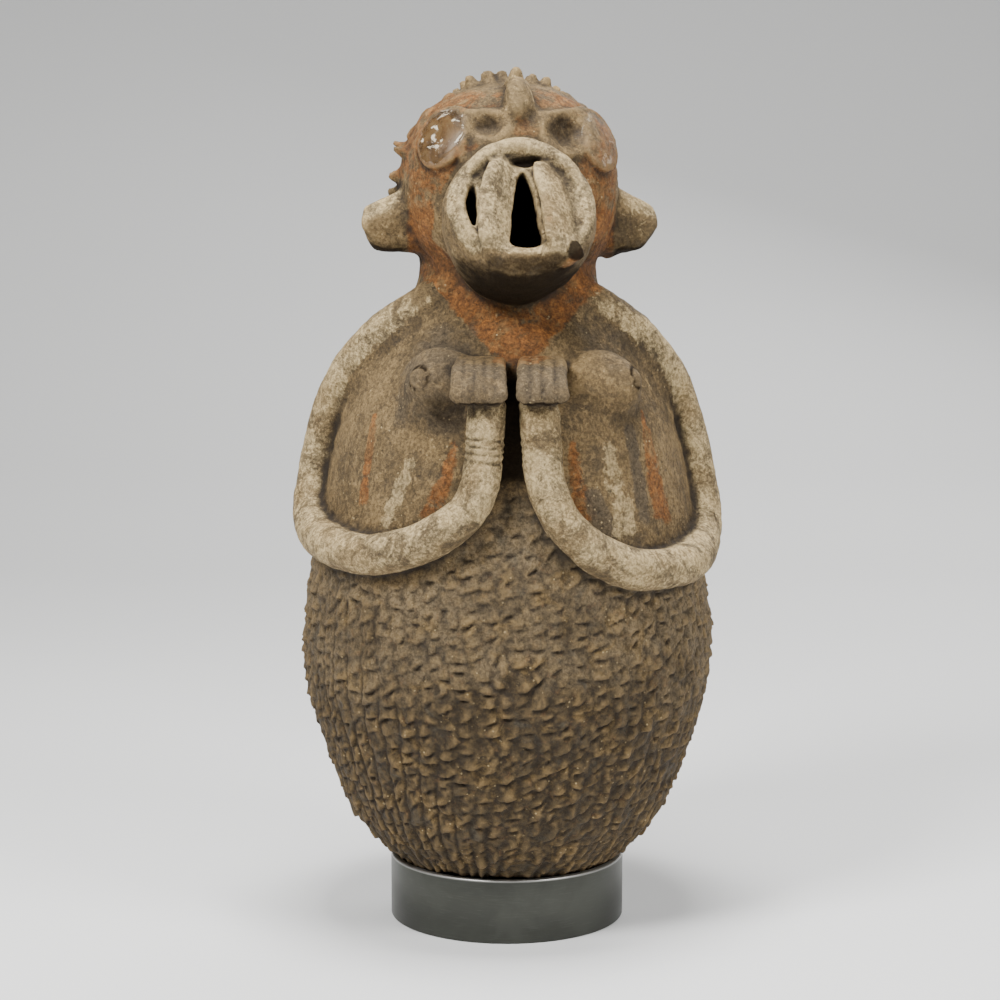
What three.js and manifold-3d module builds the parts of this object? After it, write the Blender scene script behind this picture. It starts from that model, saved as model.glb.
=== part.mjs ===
// Figurative vessel of fired clay in a steel stand ring. Millimetres, +Z up, the figure faces -Y.
import * as THREE from "three";
import { ConvexGeometry } from "three/addons/geometries/ConvexGeometry.js";
import { mergeVertices } from "three/addons/utils/BufferGeometryUtils.js";
import Module from "manifold-3d";

const wasm = await Module();
wasm.setup();

// Stand ring
const RING_RADIUS = 55.3;
const RING_WALL = 3.2;
const RING_HEIGHT = 30;
const RING_BEVEL = 0.9;
const RING_SIDES = 48;
const CRADLE_GAP = 0.6;

// The plan reaches further forward than back, so the middle of the whole stands behind the axis.
const AXIS_BACK = 2.5;

// Body wall from the round bottom to the neck inside the head, as radius and height
const BOTTOM_HEIGHT = 14;
const NECK_RADIUS = 40;
const HIP_RADIUS = 96;
const BODY_OUTLINE = [
  [0, BOTTOM_HEIGHT],
  [27, BOTTOM_HEIGHT + 3.5],
  [RING_RADIUS - RING_WALL - CRADLE_GAP, RING_HEIGHT],
  [73, 52.5],
  [86, 83],
  [HIP_RADIUS - 2, 110],
  [HIP_RADIUS, 135],
  [93, 165],
  [85.5, 205],
  [76, 243],
  [61, 270],
  [47, 290],
  [NECK_RADIUS + 1, 305],
  [NECK_RADIUS, 328],
];
const BODY_WALL = 7.5;
const BODY_TOP = 322;
const SEAT_RADIUS = 36;
const TORSO_SIDES = 32;
const TORSO_BANDS = 10;
const CAVITY_SIDES = 24;
const CAVITY_BANDS = 10;

// Pressed scales round the lower pot
const SCALE_COLUMNS = 38;
const SCALE_ROWS = 14;
const SCALES_FROM = 36;
const SCALES_TO = 171;
const SCALE_OUT = 2.4;
const SCALE_IN = 0.8;
const SCALE_SAG = 3.4;
const POT_LAP = 12;
const PEAK_SCALE_RADIUS = 7.5;
const PEAK_SCALES_FROM = 176;
const PEAK_ROW_PITCH = 10.4;
const PEAK_ROWS = 4;
const PEAK_TURN = 2;

// Arms: turn from the front in degrees, height, how far the middle of the coil stands off the
// wall, and the share it takes of the drop of the right forearm
const ARM_ROUTE = [
  [50, 300, -11, 0],
  [65, 289, 1, 0],
  [77, 275, 5.5, 0],
  [88, 251, 6, 0],
  [92, 216, 4, 0],
  [83, 192.5, 3, 0.8],
  [59, 184.5, 4, 1],
  [37, 185, 5.5, 1],
  [20, 195.5, 8, 0.8],
  [9.8, 213, 9.5, 0.1],
  [7.4, 253, 14, 0],
];
const ARM_MIDDLE_TURN = 1.5;
const RIGHT_FOREARM_DROP = 7.8;
const SHOULDER_THICK = 18;
const ELBOW_THICK = 19.8;
const WRIST_THICK = 17;
const ELBOW_ALONG = 0.4;
const ARM_STEPS = 21;
const ARM_SIDES = 8;

// Hands
const HAND_BOTTOM = 250.5;
const HAND_FRONT = 103;
const HAND_RISE = 22;
const HAND_REACH = 38;
const KNUCKLE_BACK = 11;
const KNUCKLE_DROP = 6;
const FINGER_THICK = 7;
const FINGER_GROOVE = 0.45;
const LEFT_HAND = { middle: -12.6, fingers: 5, pitch: 5.5 };
const RIGHT_HAND = { middle: 14.9, fingers: 4, pitch: 6.05 };

// Breasts
const BREAST_HEIGHT = 257;
const BREAST_STAND = 14;
const BREAST_SINK = 3;
const BREAST_HALF_WIDTH = 17;
const BREAST_HALF_RISE = 19;
const NIPPLE_RISE = 4;
const NIPPLE_RADIUS = 2.6;
const LEFT_BREAST_TURN = -27;
const RIGHT_BREAST_TURN = 43;

// Head
const HEAD_TURN = 7;
const HEAD_CENTRE = new THREE.Vector3(0, -2, 344);
const HEAD_RADII = new THREE.Vector3(50, 50, 48);
const HEAD_SQUARENESS = 2.25;
const HEAD_WALL = 6.5;

// Sunk eyes, the temple pads beside them and the crest between, as turn from the face and lift
// above level, with how much taller than wide each one is
const EYE_TURN = 21;
const EYES_MIDDLE = 4;
const EYE_LIFT = 31;
const EYE_RADIUS = 8;
const EYE_TALL = 1.15;
const EYE_DEPTH = 3.5;
const EYE_RIM_THICK = 4;
const PAD_TURN = 45;
const PAD_LIFT = 24;
const PAD_RADIUS = 10;
const PAD_SLOPE = 2.5;
const PAD_THICK = 7;
const PAD_TALL = 1.3;
const CREST_TURN = 1.5;
const CREST_LIFT = 50;
const CREST_RADIUS = 7.5;
const CREST_TALL = 1.9;

// Knobs over the crown and back of the head
const KNOB_RADIUS = 3.4;
const KNOB_HEIGHT = 6;
const KNOB_SINK = 1.2;
const KNOB_PITCH = 18.5;
const KNOB_LIFTS = [-16, 2, 20, 38, 56, 74];
const KNOB_HALF_TURN = 92;
const CROWN_LIFT = 50;
const CROWN_HALF_TURN = 125;
const SPIKE_RADIUS = 5.2;
const SPIKE_HEIGHT = 9.5;
const SPIKE_TURN = 2;
const SPIKE_LIFT = 66;

// Snout with the mouth plate that closes it, in its own frame: +Z up the plate, -Y out of it
const MOUTH_CENTRE = new THREE.Vector3(-2, -70.4, 338);
const MOUTH_TILT = 30;
const PLATE_RADIUS = 31.5;
const PLATE_THICK = 6;
const SNOUT_RADIUS = 34.5;
const SNOUT_LENGTH = 54;
const SNOUT_WALL = 6.5;
const LIP_THICK = 7.5;
const LIP_END_SINK = 3;
const LIP_FROM = 165;
const LIP_TO = -8;

// On the plate, as across and up: outlines of the openings, and the bars that flank the middle one
const MOUTH_OPENING = [[-6.6, -20.7], [8.4, -20.7], [3.5, 17.2], [-1.6, 17.2]];
const SIDE_SLOT = [[-22.6, -9.6], [-20.6, -2], [-21, 8.1], [-24, 5], [-24.6, -4]];
const LIP_HOLLOW = [[-3, 18.4], [7, 18.4], [6, 23], [-2, 23]];
const LIP_HOLLOW_DEPTH = 3;
const LOWER_LIP = [[-8, -29], [13, -29], [13, -21.5], [-8, -21.5]];
const LOWER_LIP_STAND = 2.2;
const BAR_STAND = 3.4;
const LEFT_BAR = { foot: [-14, -26], head: [-10.2, 22], width: 14.5 };
const RIGHT_BAR = { foot: [17, -27], head: [13, 22], width: 17 };
const NUB_RADIUS = 3.6;
const NUB_PLACE = [21.7, -24.5];

// Ears: wedge blocks with a level underside
const EAR_ROOT = 26;
const EAR_REACH = 69;
const EAR_ROOT_TOP = 349;
const EAR_TIP_TOP = 335;
const EAR_BOTTOM = 315;
const EAR_FRONT = -19;
const EAR_TIP_FRONT = -14;
const EAR_BACK = 4;

// Facets
const HEAD_SIDES = 24;
const HEAD_RINGS = 14;
const HOLLOW_SIDES = 16;
const HOLLOW_RINGS = 9;
const SNOUT_SIDES = 20;

function solid(geometry) {
  const bare = geometry.clone();
  bare.deleteAttribute("normal");
  bare.deleteAttribute("uv");
  const welded = mergeVertices(bare, 1e-3);
  const corners = welded.index.array;
  const kept = [];
  for (let i = 0; i < corners.length; i += 3) {
    const [a, b, c] = [corners[i], corners[i + 1], corners[i + 2]];
    if (a !== b && b !== c && c !== a) {
      kept.push(a, b, c);
    }
  }
  const points = welded.attributes.position;
  if (volume(points, kept) < 0) {
    kept.reverse();
  }
  return new wasm.Manifold(new wasm.Mesh({
    numProp: 3,
    vertProperties: new Float32Array(points.array),
    triVerts: new Uint32Array(kept),
  }));
}

function volume(points, corners) {
  const [a, b, c] = [new THREE.Vector3(), new THREE.Vector3(), new THREE.Vector3()];
  let total = 0;
  for (let i = 0; i < corners.length; i += 3) {
    a.fromBufferAttribute(points, corners[i]);
    b.fromBufferAttribute(points, corners[i + 1]);
    c.fromBufferAttribute(points, corners[i + 2]);
    total += a.dot(b.cross(c)) / 6;
  }
  return total;
}

function geometryOf(manifold) {
  const mesh = manifold.getMesh();
  const geometry = new THREE.BufferGeometry();
  geometry.setAttribute("position", new THREE.BufferAttribute(mesh.vertProperties, 3));
  geometry.setIndex(new THREE.BufferAttribute(mesh.triVerts, 1));
  geometry.computeVertexNormals();
  return geometry;
}

function joined(solids) {
  return solids.reduce((whole, part) => whole.add(part));
}

const rad = THREE.MathUtils.degToRad;

const lerp = THREE.MathUtils.lerp;

// A point round the upright axis, its turn in degrees from the front toward +X
function around(turn, radius, height) {
  return new THREE.Vector3(radius * Math.sin(rad(turn)), -radius * Math.cos(rad(turn)), height);
}

// Turned about the upright axis from an outline of radius and height
function turned(outline, sides) {
  const points = outline.map(([radius, height]) => new THREE.Vector2(radius, height));
  return new THREE.LatheGeometry(points, sides).rotateX(Math.PI / 2);
}

// A rolled coil of clay along a path, with flat ends
function coil(path, steps, thick, sides) {
  const section = new THREE.Shape();
  section.absarc(0, 0, thick / 2, 0, 2 * Math.PI);
  return new THREE.ExtrudeGeometry(section, { steps, extrudePath: path, curveSegments: sides / 2 });
}

// Stands a shape made round +Z with +Y up on a point, facing outward
function stand(geometry, point, outward) {
  const out = outward.clone().normalize();
  const across = new THREE.Vector3(0, 0, 1).cross(out).normalize();
  const up = out.clone().cross(across);
  const frame = new THREE.Matrix4().makeBasis(across, up, out);
  return geometry.applyMatrix4(frame.setPosition(point));
}

const bodyCurve = new THREE.SplineCurve(BODY_OUTLINE.map(([r, z]) => new THREE.Vector2(r, z)));
const bodyTrack = bodyCurve.getPoints(400);

function bodyRadius(height) {
  const above = bodyTrack.findIndex((point) => point.y > height);
  const [low, high] = [bodyTrack[above - 1], bodyTrack[above]];
  return lerp(low.x, high.x, (height - low.y) / (high.y - low.y));
}

// Height of the body's underside at a radius inside the ring
function bodyHeight(radius) {
  return bodyTrack.find((point) => point.x >= radius).y;
}

// Round pot with the scales: every second corner is pushed out and down, the others in
function scaledPot() {
  const rowHeight = (SCALES_TO - SCALES_FROM) / (SCALE_ROWS - 1);
  const outline = [
    [0, BOTTOM_HEIGHT],
    [SEAT_RADIUS, bodyHeight(SEAT_RADIUS)],
    [bodyRadius(RING_HEIGHT), RING_HEIGHT],
  ];
  const firstRow = outline.length;
  for (let row = 0; row < SCALE_ROWS; row += 1) {
    const height = SCALES_FROM + row * rowHeight;
    outline.push([bodyRadius(height), height]);
  }
  outline.push([0, SCALES_TO]);
  const points = outline.map(([radius, height]) => new THREE.Vector2(radius, height));
  const sides = 2 * SCALE_COLUMNS;
  const pot = new THREE.LatheGeometry(points, sides);
  const corners = pot.attributes.position;
  for (let side = 0; side <= sides; side += 1) {
    for (let row = 0; row < SCALE_ROWS; row += 1) {
      const corner = side * outline.length + firstRow + row;
      const out = isPushedOut(side, row);
      const radius = Math.hypot(corners.getX(corner), corners.getZ(corner));
      const grow = (radius + (out ? SCALE_OUT : -SCALE_IN)) / radius;
      const drop = out && row > 0 && row < SCALE_ROWS - 1 ? SCALE_SAG : 0;
      corners.setXYZ(
        corner,
        corners.getX(corner) * grow,
        corners.getY(corner) - drop,
        corners.getZ(corner) * grow,
      );
    }
  }
  pot.setIndex(scaleFaces(outline.length, sides, firstRow));
  return solid(pot.rotateX(Math.PI / 2));
}

function isPushedOut(side, row) {
  return (side + row) % 2 === 0;
}

// Splits each four-sided face between the corners that stay in, so each scale is its own peak
function scaleFaces(rings, sides, firstRow) {
  const faces = [];
  for (let side = 0; side < sides; side += 1) {
    for (let ring = 0; ring < rings - 1; ring += 1) {
      const near = side * rings + ring;
      const far = near + rings;
      if (isPushedOut(side, ring - firstRow)) {
        faces.push(near, far, near + 1, far + 1, near + 1, far);
      } else {
        faces.push(near, far, far + 1, near, far + 1, near + 1);
      }
    }
  }
  return faces;
}

function torso() {
  const foot = SCALES_TO - POT_LAP;
  const outline = [[0, foot], [bodyRadius(SCALES_TO) - SCALE_OUT, foot]];
  for (let band = 0; band <= TORSO_BANDS; band += 1) {
    const height = lerp(SCALES_TO, BODY_TOP, band / TORSO_BANDS);
    outline.push([bodyRadius(height), height]);
  }
  outline.push([0, BODY_TOP]);
  return solid(turned(outline, TORSO_SIDES));
}

// Scales in the peak of textured wall that rises between the forearms
function peakScales() {
  const scales = [];
  for (let row = 0; row < PEAK_ROWS; row += 1) {
    const height = PEAK_SCALES_FROM + row * PEAK_ROW_PITCH;
    const reach = (PEAK_ROWS - 1 - row) / 2;
    for (let place = -reach; place <= reach; place += 1) {
      const turn = PEAK_TURN + (place * 360) / SCALE_COLUMNS;
      const scale = new THREE.ConeGeometry(PEAK_SCALE_RADIUS, 2.4 * SCALE_OUT, 4);
      const point = around(turn, bodyRadius(height), height);
      scales.push(solid(stand(scale.rotateX(Math.PI / 2), point, around(turn, 1, 0))));
    }
  }
  return scales;
}

// Empty space inside the body, one wall thickness in from the outline
function bodyCavity() {
  const outline = [[0, BOTTOM_HEIGHT + BODY_WALL]];
  for (let band = 1; band <= CAVITY_BANDS; band += 1) {
    const along = band / CAVITY_BANDS;
    const point = bodyCurve.getPointAt(along);
    const tangent = bodyCurve.getTangentAt(along);
    outline.push([point.x - tangent.y * BODY_WALL, point.y + tangent.x * BODY_WALL]);
  }
  outline.push([0, outline[CAVITY_BANDS][1]]);
  return solid(turned(outline, CAVITY_SIDES));
}

function arm(side) {
  const stops = ARM_ROUTE.map(([turn, height, standOff, share]) => {
    const drop = side > 0 ? RIGHT_FOREARM_DROP * share : 0;
    return around(side * turn + ARM_MIDDLE_TURN, bodyRadius(height) + standOff, height - drop);
  });
  const path = new THREE.CatmullRomCurve3(stops);
  const geometry = coil(path, ARM_STEPS, ELBOW_THICK, ARM_SIDES);
  const middles = path.getSpacedPoints(ARM_STEPS);
  const corners = geometry.attributes.position;
  const corner = new THREE.Vector3();
  for (let i = 0; i < corners.count; i += 1) {
    corner.fromBufferAttribute(corners, i);
    const gaps = middles.map((middle) => middle.distanceTo(corner));
    const nearest = gaps.indexOf(Math.min(...gaps));
    const thick = armThickness(nearest / ARM_STEPS);
    corner.sub(middles[nearest]).multiplyScalar(thick / ELBOW_THICK).add(middles[nearest]);
    corners.setXYZ(i, corner.x, corner.y, corner.z);
  }
  return solid(geometry);
}

function armThickness(along) {
  if (along < ELBOW_ALONG) {
    return lerp(SHOULDER_THICK, ELBOW_THICK, along / ELBOW_ALONG);
  }
  return lerp(ELBOW_THICK, WRIST_THICK, (along - ELBOW_ALONG) / (1 - ELBOW_ALONG));
}

// A paw: one slab of fingers side by side, curled from the chest down over a block below it
function hand({ middle, fingers, pitch }) {
  const half = FINGER_THICK / 2;
  const width = fingers * pitch;
  const section = [new THREE.Vector2(-width / 2, half), new THREE.Vector2(width / 2, half)];
  for (let finger = 0; finger < fingers; finger += 1) {
    const edge = width / 2 - finger * pitch;
    section.push(new THREE.Vector2(edge, -half * FINGER_GROOVE));
    section.push(new THREE.Vector2(edge - pitch * 0.25, -half));
    section.push(new THREE.Vector2(edge - pitch * 0.75, -half));
  }
  section.push(new THREE.Vector2(-width / 2, -half * FINGER_GROOVE));
  const knuckle = HAND_BOTTOM + HAND_RISE - half;
  const tip = HAND_FRONT - half;
  const extrudePath = new THREE.CatmullRomCurve3([
    new THREE.Vector3(middle, HAND_REACH - tip, knuckle + 2),
    new THREE.Vector3(middle, KNUCKLE_BACK - tip, knuckle),
    new THREE.Vector3(middle, KNUCKLE_BACK * 0.2 - tip, knuckle - KNUCKLE_DROP),
    new THREE.Vector3(middle, -tip, HAND_BOTTOM),
  ]);
  const curl = new THREE.ExtrudeGeometry(new THREE.Shape(section), { steps: 6, extrudePath });
  const palm = new THREE.BoxGeometry(width - 2, HAND_REACH - 6, HAND_RISE - 10);
  palm.translate(middle, HAND_REACH / 2 + 3 - tip, HAND_BOTTOM + HAND_RISE / 2 - 3);
  return [solid(curl), solid(palm)];
}

function breast(turn) {
  const radius = bodyRadius(BREAST_HEIGHT) - BREAST_SINK;
  const bulge = new THREE.SphereGeometry(1, 12, 7);
  bulge.scale(BREAST_HALF_WIDTH, BREAST_HALF_RISE, BREAST_STAND + BREAST_SINK);
  const nipple = new THREE.SphereGeometry(NIPPLE_RADIUS, 6, 4);
  const standOut = (BREAST_STAND + BREAST_SINK) * Math.sqrt(1 - (NIPPLE_RISE / BREAST_HALF_RISE) ** 2);
  const tip = around(turn, radius + standOut, BREAST_HEIGHT + NIPPLE_RISE);
  return [
    solid(stand(bulge, around(turn, radius, BREAST_HEIGHT), around(turn, 1, 0))),
    solid(nipple.translate(...tip.toArray())),
  ];
}

// Way out from the middle of the head, by turn from the face and lift above level
function headWay(turn, lift) {
  return around(turn, Math.cos(rad(lift)), Math.sin(rad(lift)));
}

// Point of the squarish head that lies in a given way from its middle
function headPoint(way, radii) {
  const reach = [way.x / radii.x, way.y / radii.y, way.z / radii.z];
  const sum = reach.reduce((total, part) => total + Math.abs(part) ** HEAD_SQUARENESS, 0);
  return way.clone().multiplyScalar(sum ** (-1 / HEAD_SQUARENESS)).add(HEAD_CENTRE);
}

function headBlock(radii, sides, rings) {
  const ball = new THREE.SphereGeometry(1, sides, rings).rotateX(Math.PI / 2);
  const corners = ball.attributes.position;
  const way = new THREE.Vector3();
  for (let i = 0; i < corners.count; i += 1) {
    const point = headPoint(way.fromBufferAttribute(corners, i), radii);
    corners.setXYZ(i, point.x, point.y, point.z);
  }
  return solid(ball);
}

function knob(way, radius, height) {
  const cone = new THREE.ConeGeometry(radius, height, 4).rotateX(Math.PI / 2);
  cone.translate(0, 0, height / 2 - KNOB_SINK);
  return solid(stand(cone, headPoint(way, HEAD_RADII), way));
}

// Rows of knobs from ear to ear round the back, and over the crown
function knobs() {
  const parts = [];
  KNOB_LIFTS.forEach((lift, row) => {
    const half = lift > CROWN_LIFT ? CROWN_HALF_TURN : KNOB_HALF_TURN;
    const girth = rad(2 * half) * HEAD_RADII.x * Math.cos(rad(lift));
    const count = Math.round(girth / KNOB_PITCH);
    for (let place = 0; place <= count; place += 1) {
      const stagger = row % 2 === 0 ? 0 : 0.5;
      const turn = 180 - half + ((place + stagger) * 2 * half) / (count + 0.5);
      parts.push(knob(headWay(turn, lift), KNOB_RADIUS, KNOB_HEIGHT));
    }
  });
  return parts;
}

// Turned round the snout's own axis, from an outline of radius and depth behind the plate
function snoutTurned(outline, sides) {
  const points = outline.map(([radius, depth]) => new THREE.Vector2(radius, depth));
  return new THREE.LatheGeometry(points, sides);
}

function placeMouth(part) {
  const turn = new THREE.Matrix4().makeRotationX(-rad(MOUTH_TILT));
  return part.transform(turn.setPosition(MOUTH_CENTRE).toArray());
}

// Flat outline on the plate cut or raised through a depth, given as across and up
function plateShape(outline, from, to) {
  const shape = new THREE.Shape(outline.map(([across, up]) => new THREE.Vector2(across, up)));
  const block = new THREE.ExtrudeGeometry(shape, { depth: to - from, bevelEnabled: false });
  return solid(block.rotateX(Math.PI / 2).translate(0, to, 0));
}

// Rounded bar up the plate beside the opening
function toothBar({ foot, head, width }) {
  const path = new THREE.LineCurve3(
    new THREE.Vector3(foot[0], 0, foot[1]),
    new THREE.Vector3(head[0], 0, head[1]),
  );
  const bar = coil(path, 1, 2, 10);
  const reach = head[1] - foot[1];
  const corners = bar.attributes.position;
  for (let i = 0; i < corners.count; i += 1) {
    const share = (corners.getZ(i) - foot[1]) / reach;
    const middle = lerp(foot[0], head[0], share);
    corners.setXYZ(
      i,
      middle + ((corners.getX(i) - middle) * width) / 2,
      corners.getY(i) * BAR_STAND,
      corners.getZ(i),
    );
  }
  return solid(bar);
}

function snout() {
  const outer = snoutTurned([
    [0, 0],
    [PLATE_RADIUS - 1, 0],
    [PLATE_RADIUS + 1.5, 3],
    [SNOUT_RADIUS, 14],
    [SNOUT_RADIUS - 2, 28],
    [SNOUT_RADIUS - 7, 42],
    [SNOUT_RADIUS - 13, SNOUT_LENGTH],
    [0, SNOUT_LENGTH],
  ], SNOUT_SIDES);
  const lipRadius = PLATE_RADIUS - LIP_THICK / 2 + 0.5;
  const lipStops = [0, 1, 2, 3, 4, 5, 6].map((stop) => {
    const angle = rad(lerp(LIP_FROM, LIP_TO, stop / 6));
    const depth = stop % 6 === 0 ? LIP_END_SINK : -0.5;
    return new THREE.Vector3(lipRadius * Math.cos(angle), depth, lipRadius * Math.sin(angle));
  });
  const lip = coil(new THREE.CatmullRomCurve3(lipStops), 12, LIP_THICK, 6);
  const nub = new THREE.SphereGeometry(NUB_RADIUS, 8, 6).scale(0.9, 1, 1.3);
  return [
    solid(outer),
    solid(lip),
    toothBar(LEFT_BAR),
    toothBar(RIGHT_BAR),
    plateShape(LOWER_LIP, -LOWER_LIP_STAND, 2),
    solid(nub.translate(NUB_PLACE[0], -LIP_END_SINK, NUB_PLACE[1])),
  ].map(placeMouth);
}

function mouthHollow() {
  const bore = snoutTurned([
    [0, PLATE_THICK],
    [PLATE_RADIUS - 5, PLATE_THICK],
    [SNOUT_RADIUS - SNOUT_WALL, 15],
    [SNOUT_RADIUS - SNOUT_WALL - 2, 28],
    [SNOUT_RADIUS - 14.5, SNOUT_LENGTH - 10],
    [0, SNOUT_LENGTH - SNOUT_WALL + 0.5],
  ], HOLLOW_SIDES);
  const through = [-PLATE_THICK - 2, PLATE_THICK + 2];
  return [
    solid(bore),
    plateShape(MOUTH_OPENING, ...through),
    plateShape(SIDE_SLOT, ...through),
    plateShape(LIP_HOLLOW, -PLATE_THICK, LIP_HOLLOW_DEPTH),
  ].map(placeMouth);
}

// Thick wedge block standing out from the side of the head
function ear(side) {
  const corner = (x, y, z) => new THREE.Vector3(side * x, y, z);
  const block = new ConvexGeometry([
    corner(EAR_ROOT, EAR_BACK, EAR_ROOT_TOP),
    corner(EAR_ROOT, EAR_FRONT + 5, EAR_ROOT_TOP),
    corner(EAR_ROOT, EAR_FRONT, EAR_ROOT_TOP - 11),
    corner(EAR_ROOT, EAR_FRONT + 3, EAR_BOTTOM),
    corner(EAR_ROOT, EAR_BACK, EAR_BOTTOM),
    corner(EAR_REACH - 3, EAR_BACK - 3, EAR_TIP_TOP),
    corner(EAR_REACH - 2, EAR_TIP_FRONT + 5, EAR_TIP_TOP),
    corner(EAR_REACH, EAR_TIP_FRONT, EAR_TIP_TOP - 7),
    corner(EAR_REACH - 8, EAR_TIP_FRONT + 1, EAR_BOTTOM + 0.5),
    corner(EAR_REACH - 6, EAR_BACK - 3, EAR_BOTTOM + 0.5),
  ]);
  return solid(block);
}

function eyeWay(side) {
  return headWay(side * EYE_TURN + EYES_MIDDLE, EYE_LIFT);
}

// Ears, raised rims of the eyes, temple pads and the crest with its spike
function faceRelief() {
  const parts = [ear(-1), ear(1)];
  [-1, 1].forEach((side) => {
    const rim = new THREE.TorusGeometry(EYE_RADIUS + EYE_RIM_THICK / 2, EYE_RIM_THICK / 2, 4, 12);
    rim.scale(1, EYE_TALL, 1);
    parts.push(solid(stand(rim, headPoint(eyeWay(side), HEAD_RADII), eyeWay(side))));
    const padWay = headWay(side * PAD_TURN, PAD_LIFT);
    const pad = new THREE.CylinderGeometry(PAD_RADIUS, PAD_RADIUS + PAD_SLOPE, PAD_THICK, 12);
    pad.rotateX(Math.PI / 2).scale(1, PAD_TALL, 1);
    parts.push(solid(stand(pad, headPoint(padWay, HEAD_RADII), padWay)));
  });
  const crestWay = headWay(CREST_TURN, CREST_LIFT);
  const crest = new THREE.SphereGeometry(CREST_RADIUS, 8, 7).scale(1, CREST_TALL, 1);
  parts.push(solid(stand(crest, headPoint(crestWay, HEAD_RADII), crestWay)));
  parts.push(knob(headWay(SPIKE_TURN, SPIKE_LIFT), SPIKE_RADIUS, SPIKE_HEIGHT));
  return parts;
}

function eyeHollows() {
  const lift = EYE_DEPTH * 0.7;
  return [-1, 1].map((side) => {
    const hollow = new THREE.SphereGeometry(1, 10, 7);
    hollow.scale(EYE_RADIUS, EYE_RADIUS * EYE_TALL, EYE_DEPTH + lift);
    const middle = headPoint(eyeWay(side), HEAD_RADII).addScaledVector(eyeWay(side), lift);
    return solid(stand(hollow, middle, eyeWay(side)));
  });
}

function vessel() {
  const headOutside = joined([
    headBlock(HEAD_RADII, HEAD_SIDES, HEAD_RINGS),
    ...faceRelief(),
    ...snout(),
    ...knobs(),
  ]);
  const headInside = joined([
    headBlock(HEAD_RADII.clone().subScalar(HEAD_WALL), HOLLOW_SIDES, HOLLOW_RINGS),
    ...mouthHollow(),
  ]);
  const turn = new THREE.Matrix4().makeRotationZ(rad(HEAD_TURN)).toArray();
  const eyes = joined(eyeHollows());
  const outside = joined([
    scaledPot(),
    torso(),
    ...peakScales(),
    arm(-1),
    arm(1),
    ...hand(LEFT_HAND),
    ...hand(RIGHT_HAND),
    ...breast(LEFT_BREAST_TURN),
    ...breast(RIGHT_BREAST_TURN),
    headOutside.subtract(eyes).transform(turn),
  ]);
  return outside.subtract(bodyCavity()).subtract(headInside.transform(turn));
}

function standRing() {
  const inside = RING_RADIUS - RING_WALL;
  return solid(turned([
    [inside, 0],
    [RING_RADIUS, 0],
    [RING_RADIUS, RING_HEIGHT - RING_BEVEL],
    [RING_RADIUS - RING_BEVEL, RING_HEIGHT],
    [inside, RING_HEIGHT],
    [inside, 0],
  ], RING_SIDES));
}

function piece(name, manifold, look) {
  const geometry = geometryOf(manifold).translate(0, AXIS_BACK, 0);
  const mesh = new THREE.Mesh(geometry, new THREE.MeshStandardMaterial(look));
  mesh.name = name;
  return mesh;
}

const group = new THREE.Group();
group.name = "figurative_vessel";
group.add(
  piece("vessel", vessel(), { color: 0x7a674c, roughness: 0.9 }),
  piece("stand_ring", standRing(), { color: 0x4b4d46, metalness: 1, roughness: 0.35 }),
);

export default group;
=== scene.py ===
import math

import bmesh
import bpy
import numpy as np
from bpy.props import FloatProperty, FloatVectorProperty, IntProperty, PointerProperty
from mathutils import Matrix, Vector
from mathutils.kdtree import KDTree


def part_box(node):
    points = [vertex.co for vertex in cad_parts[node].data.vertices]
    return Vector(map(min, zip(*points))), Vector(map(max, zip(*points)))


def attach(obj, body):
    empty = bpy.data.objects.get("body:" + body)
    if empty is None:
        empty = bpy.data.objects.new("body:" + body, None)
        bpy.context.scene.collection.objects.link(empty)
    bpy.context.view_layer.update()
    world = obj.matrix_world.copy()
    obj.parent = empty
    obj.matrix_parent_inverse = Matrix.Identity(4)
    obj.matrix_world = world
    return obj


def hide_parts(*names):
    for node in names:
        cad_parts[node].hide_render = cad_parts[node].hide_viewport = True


bl_info = {
    "name": "Figurative Vessel",
    "version": (1, 0, 0),
    "blender": (4, 5, 0),
    "location": "View3D > Sidebar > Vessel",
    "description": "Hand-built clay vessel with a figure's head and arms, in its steel stand ring",
    "category": "Add Mesh",
}

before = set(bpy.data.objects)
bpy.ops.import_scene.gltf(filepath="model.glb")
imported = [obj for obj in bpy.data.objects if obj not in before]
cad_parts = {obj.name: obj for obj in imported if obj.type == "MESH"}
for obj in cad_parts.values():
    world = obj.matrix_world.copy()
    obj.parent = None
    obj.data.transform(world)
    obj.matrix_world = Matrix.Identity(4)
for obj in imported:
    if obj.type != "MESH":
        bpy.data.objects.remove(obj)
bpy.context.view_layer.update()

MM = 0.001
AXIS_BACK = 2.5
RING_LOW, RING_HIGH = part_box("stand_ring")
RING_RADIUS = (RING_HIGH.x - RING_LOW.x) / 2 / MM
RING_HEIGHT = RING_HIGH.z / MM
RING_WALL = 3.2

# Body as radius and height
BOTTOM_HEIGHT = 14
BODY_OUTLINE = (
    (0, BOTTOM_HEIGHT), (27, 17.5), (RING_RADIUS - RING_WALL - 0.6, RING_HEIGHT), (73, 52.5),
    (86, 83), (94, 110), (96, 135), (93, 165), (85.5, 205), (76, 243), (61, 270), (47, 290),
    (41, 305), (40, 328),
)
BODY_WALL = 7.5

# Textured wall: how high it reaches by turn from the front
SCALES_TOP = 173
SCALES_PEAK = 40
PEAK_TURN = 2
PEAK_HALF_TURN = 28

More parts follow.
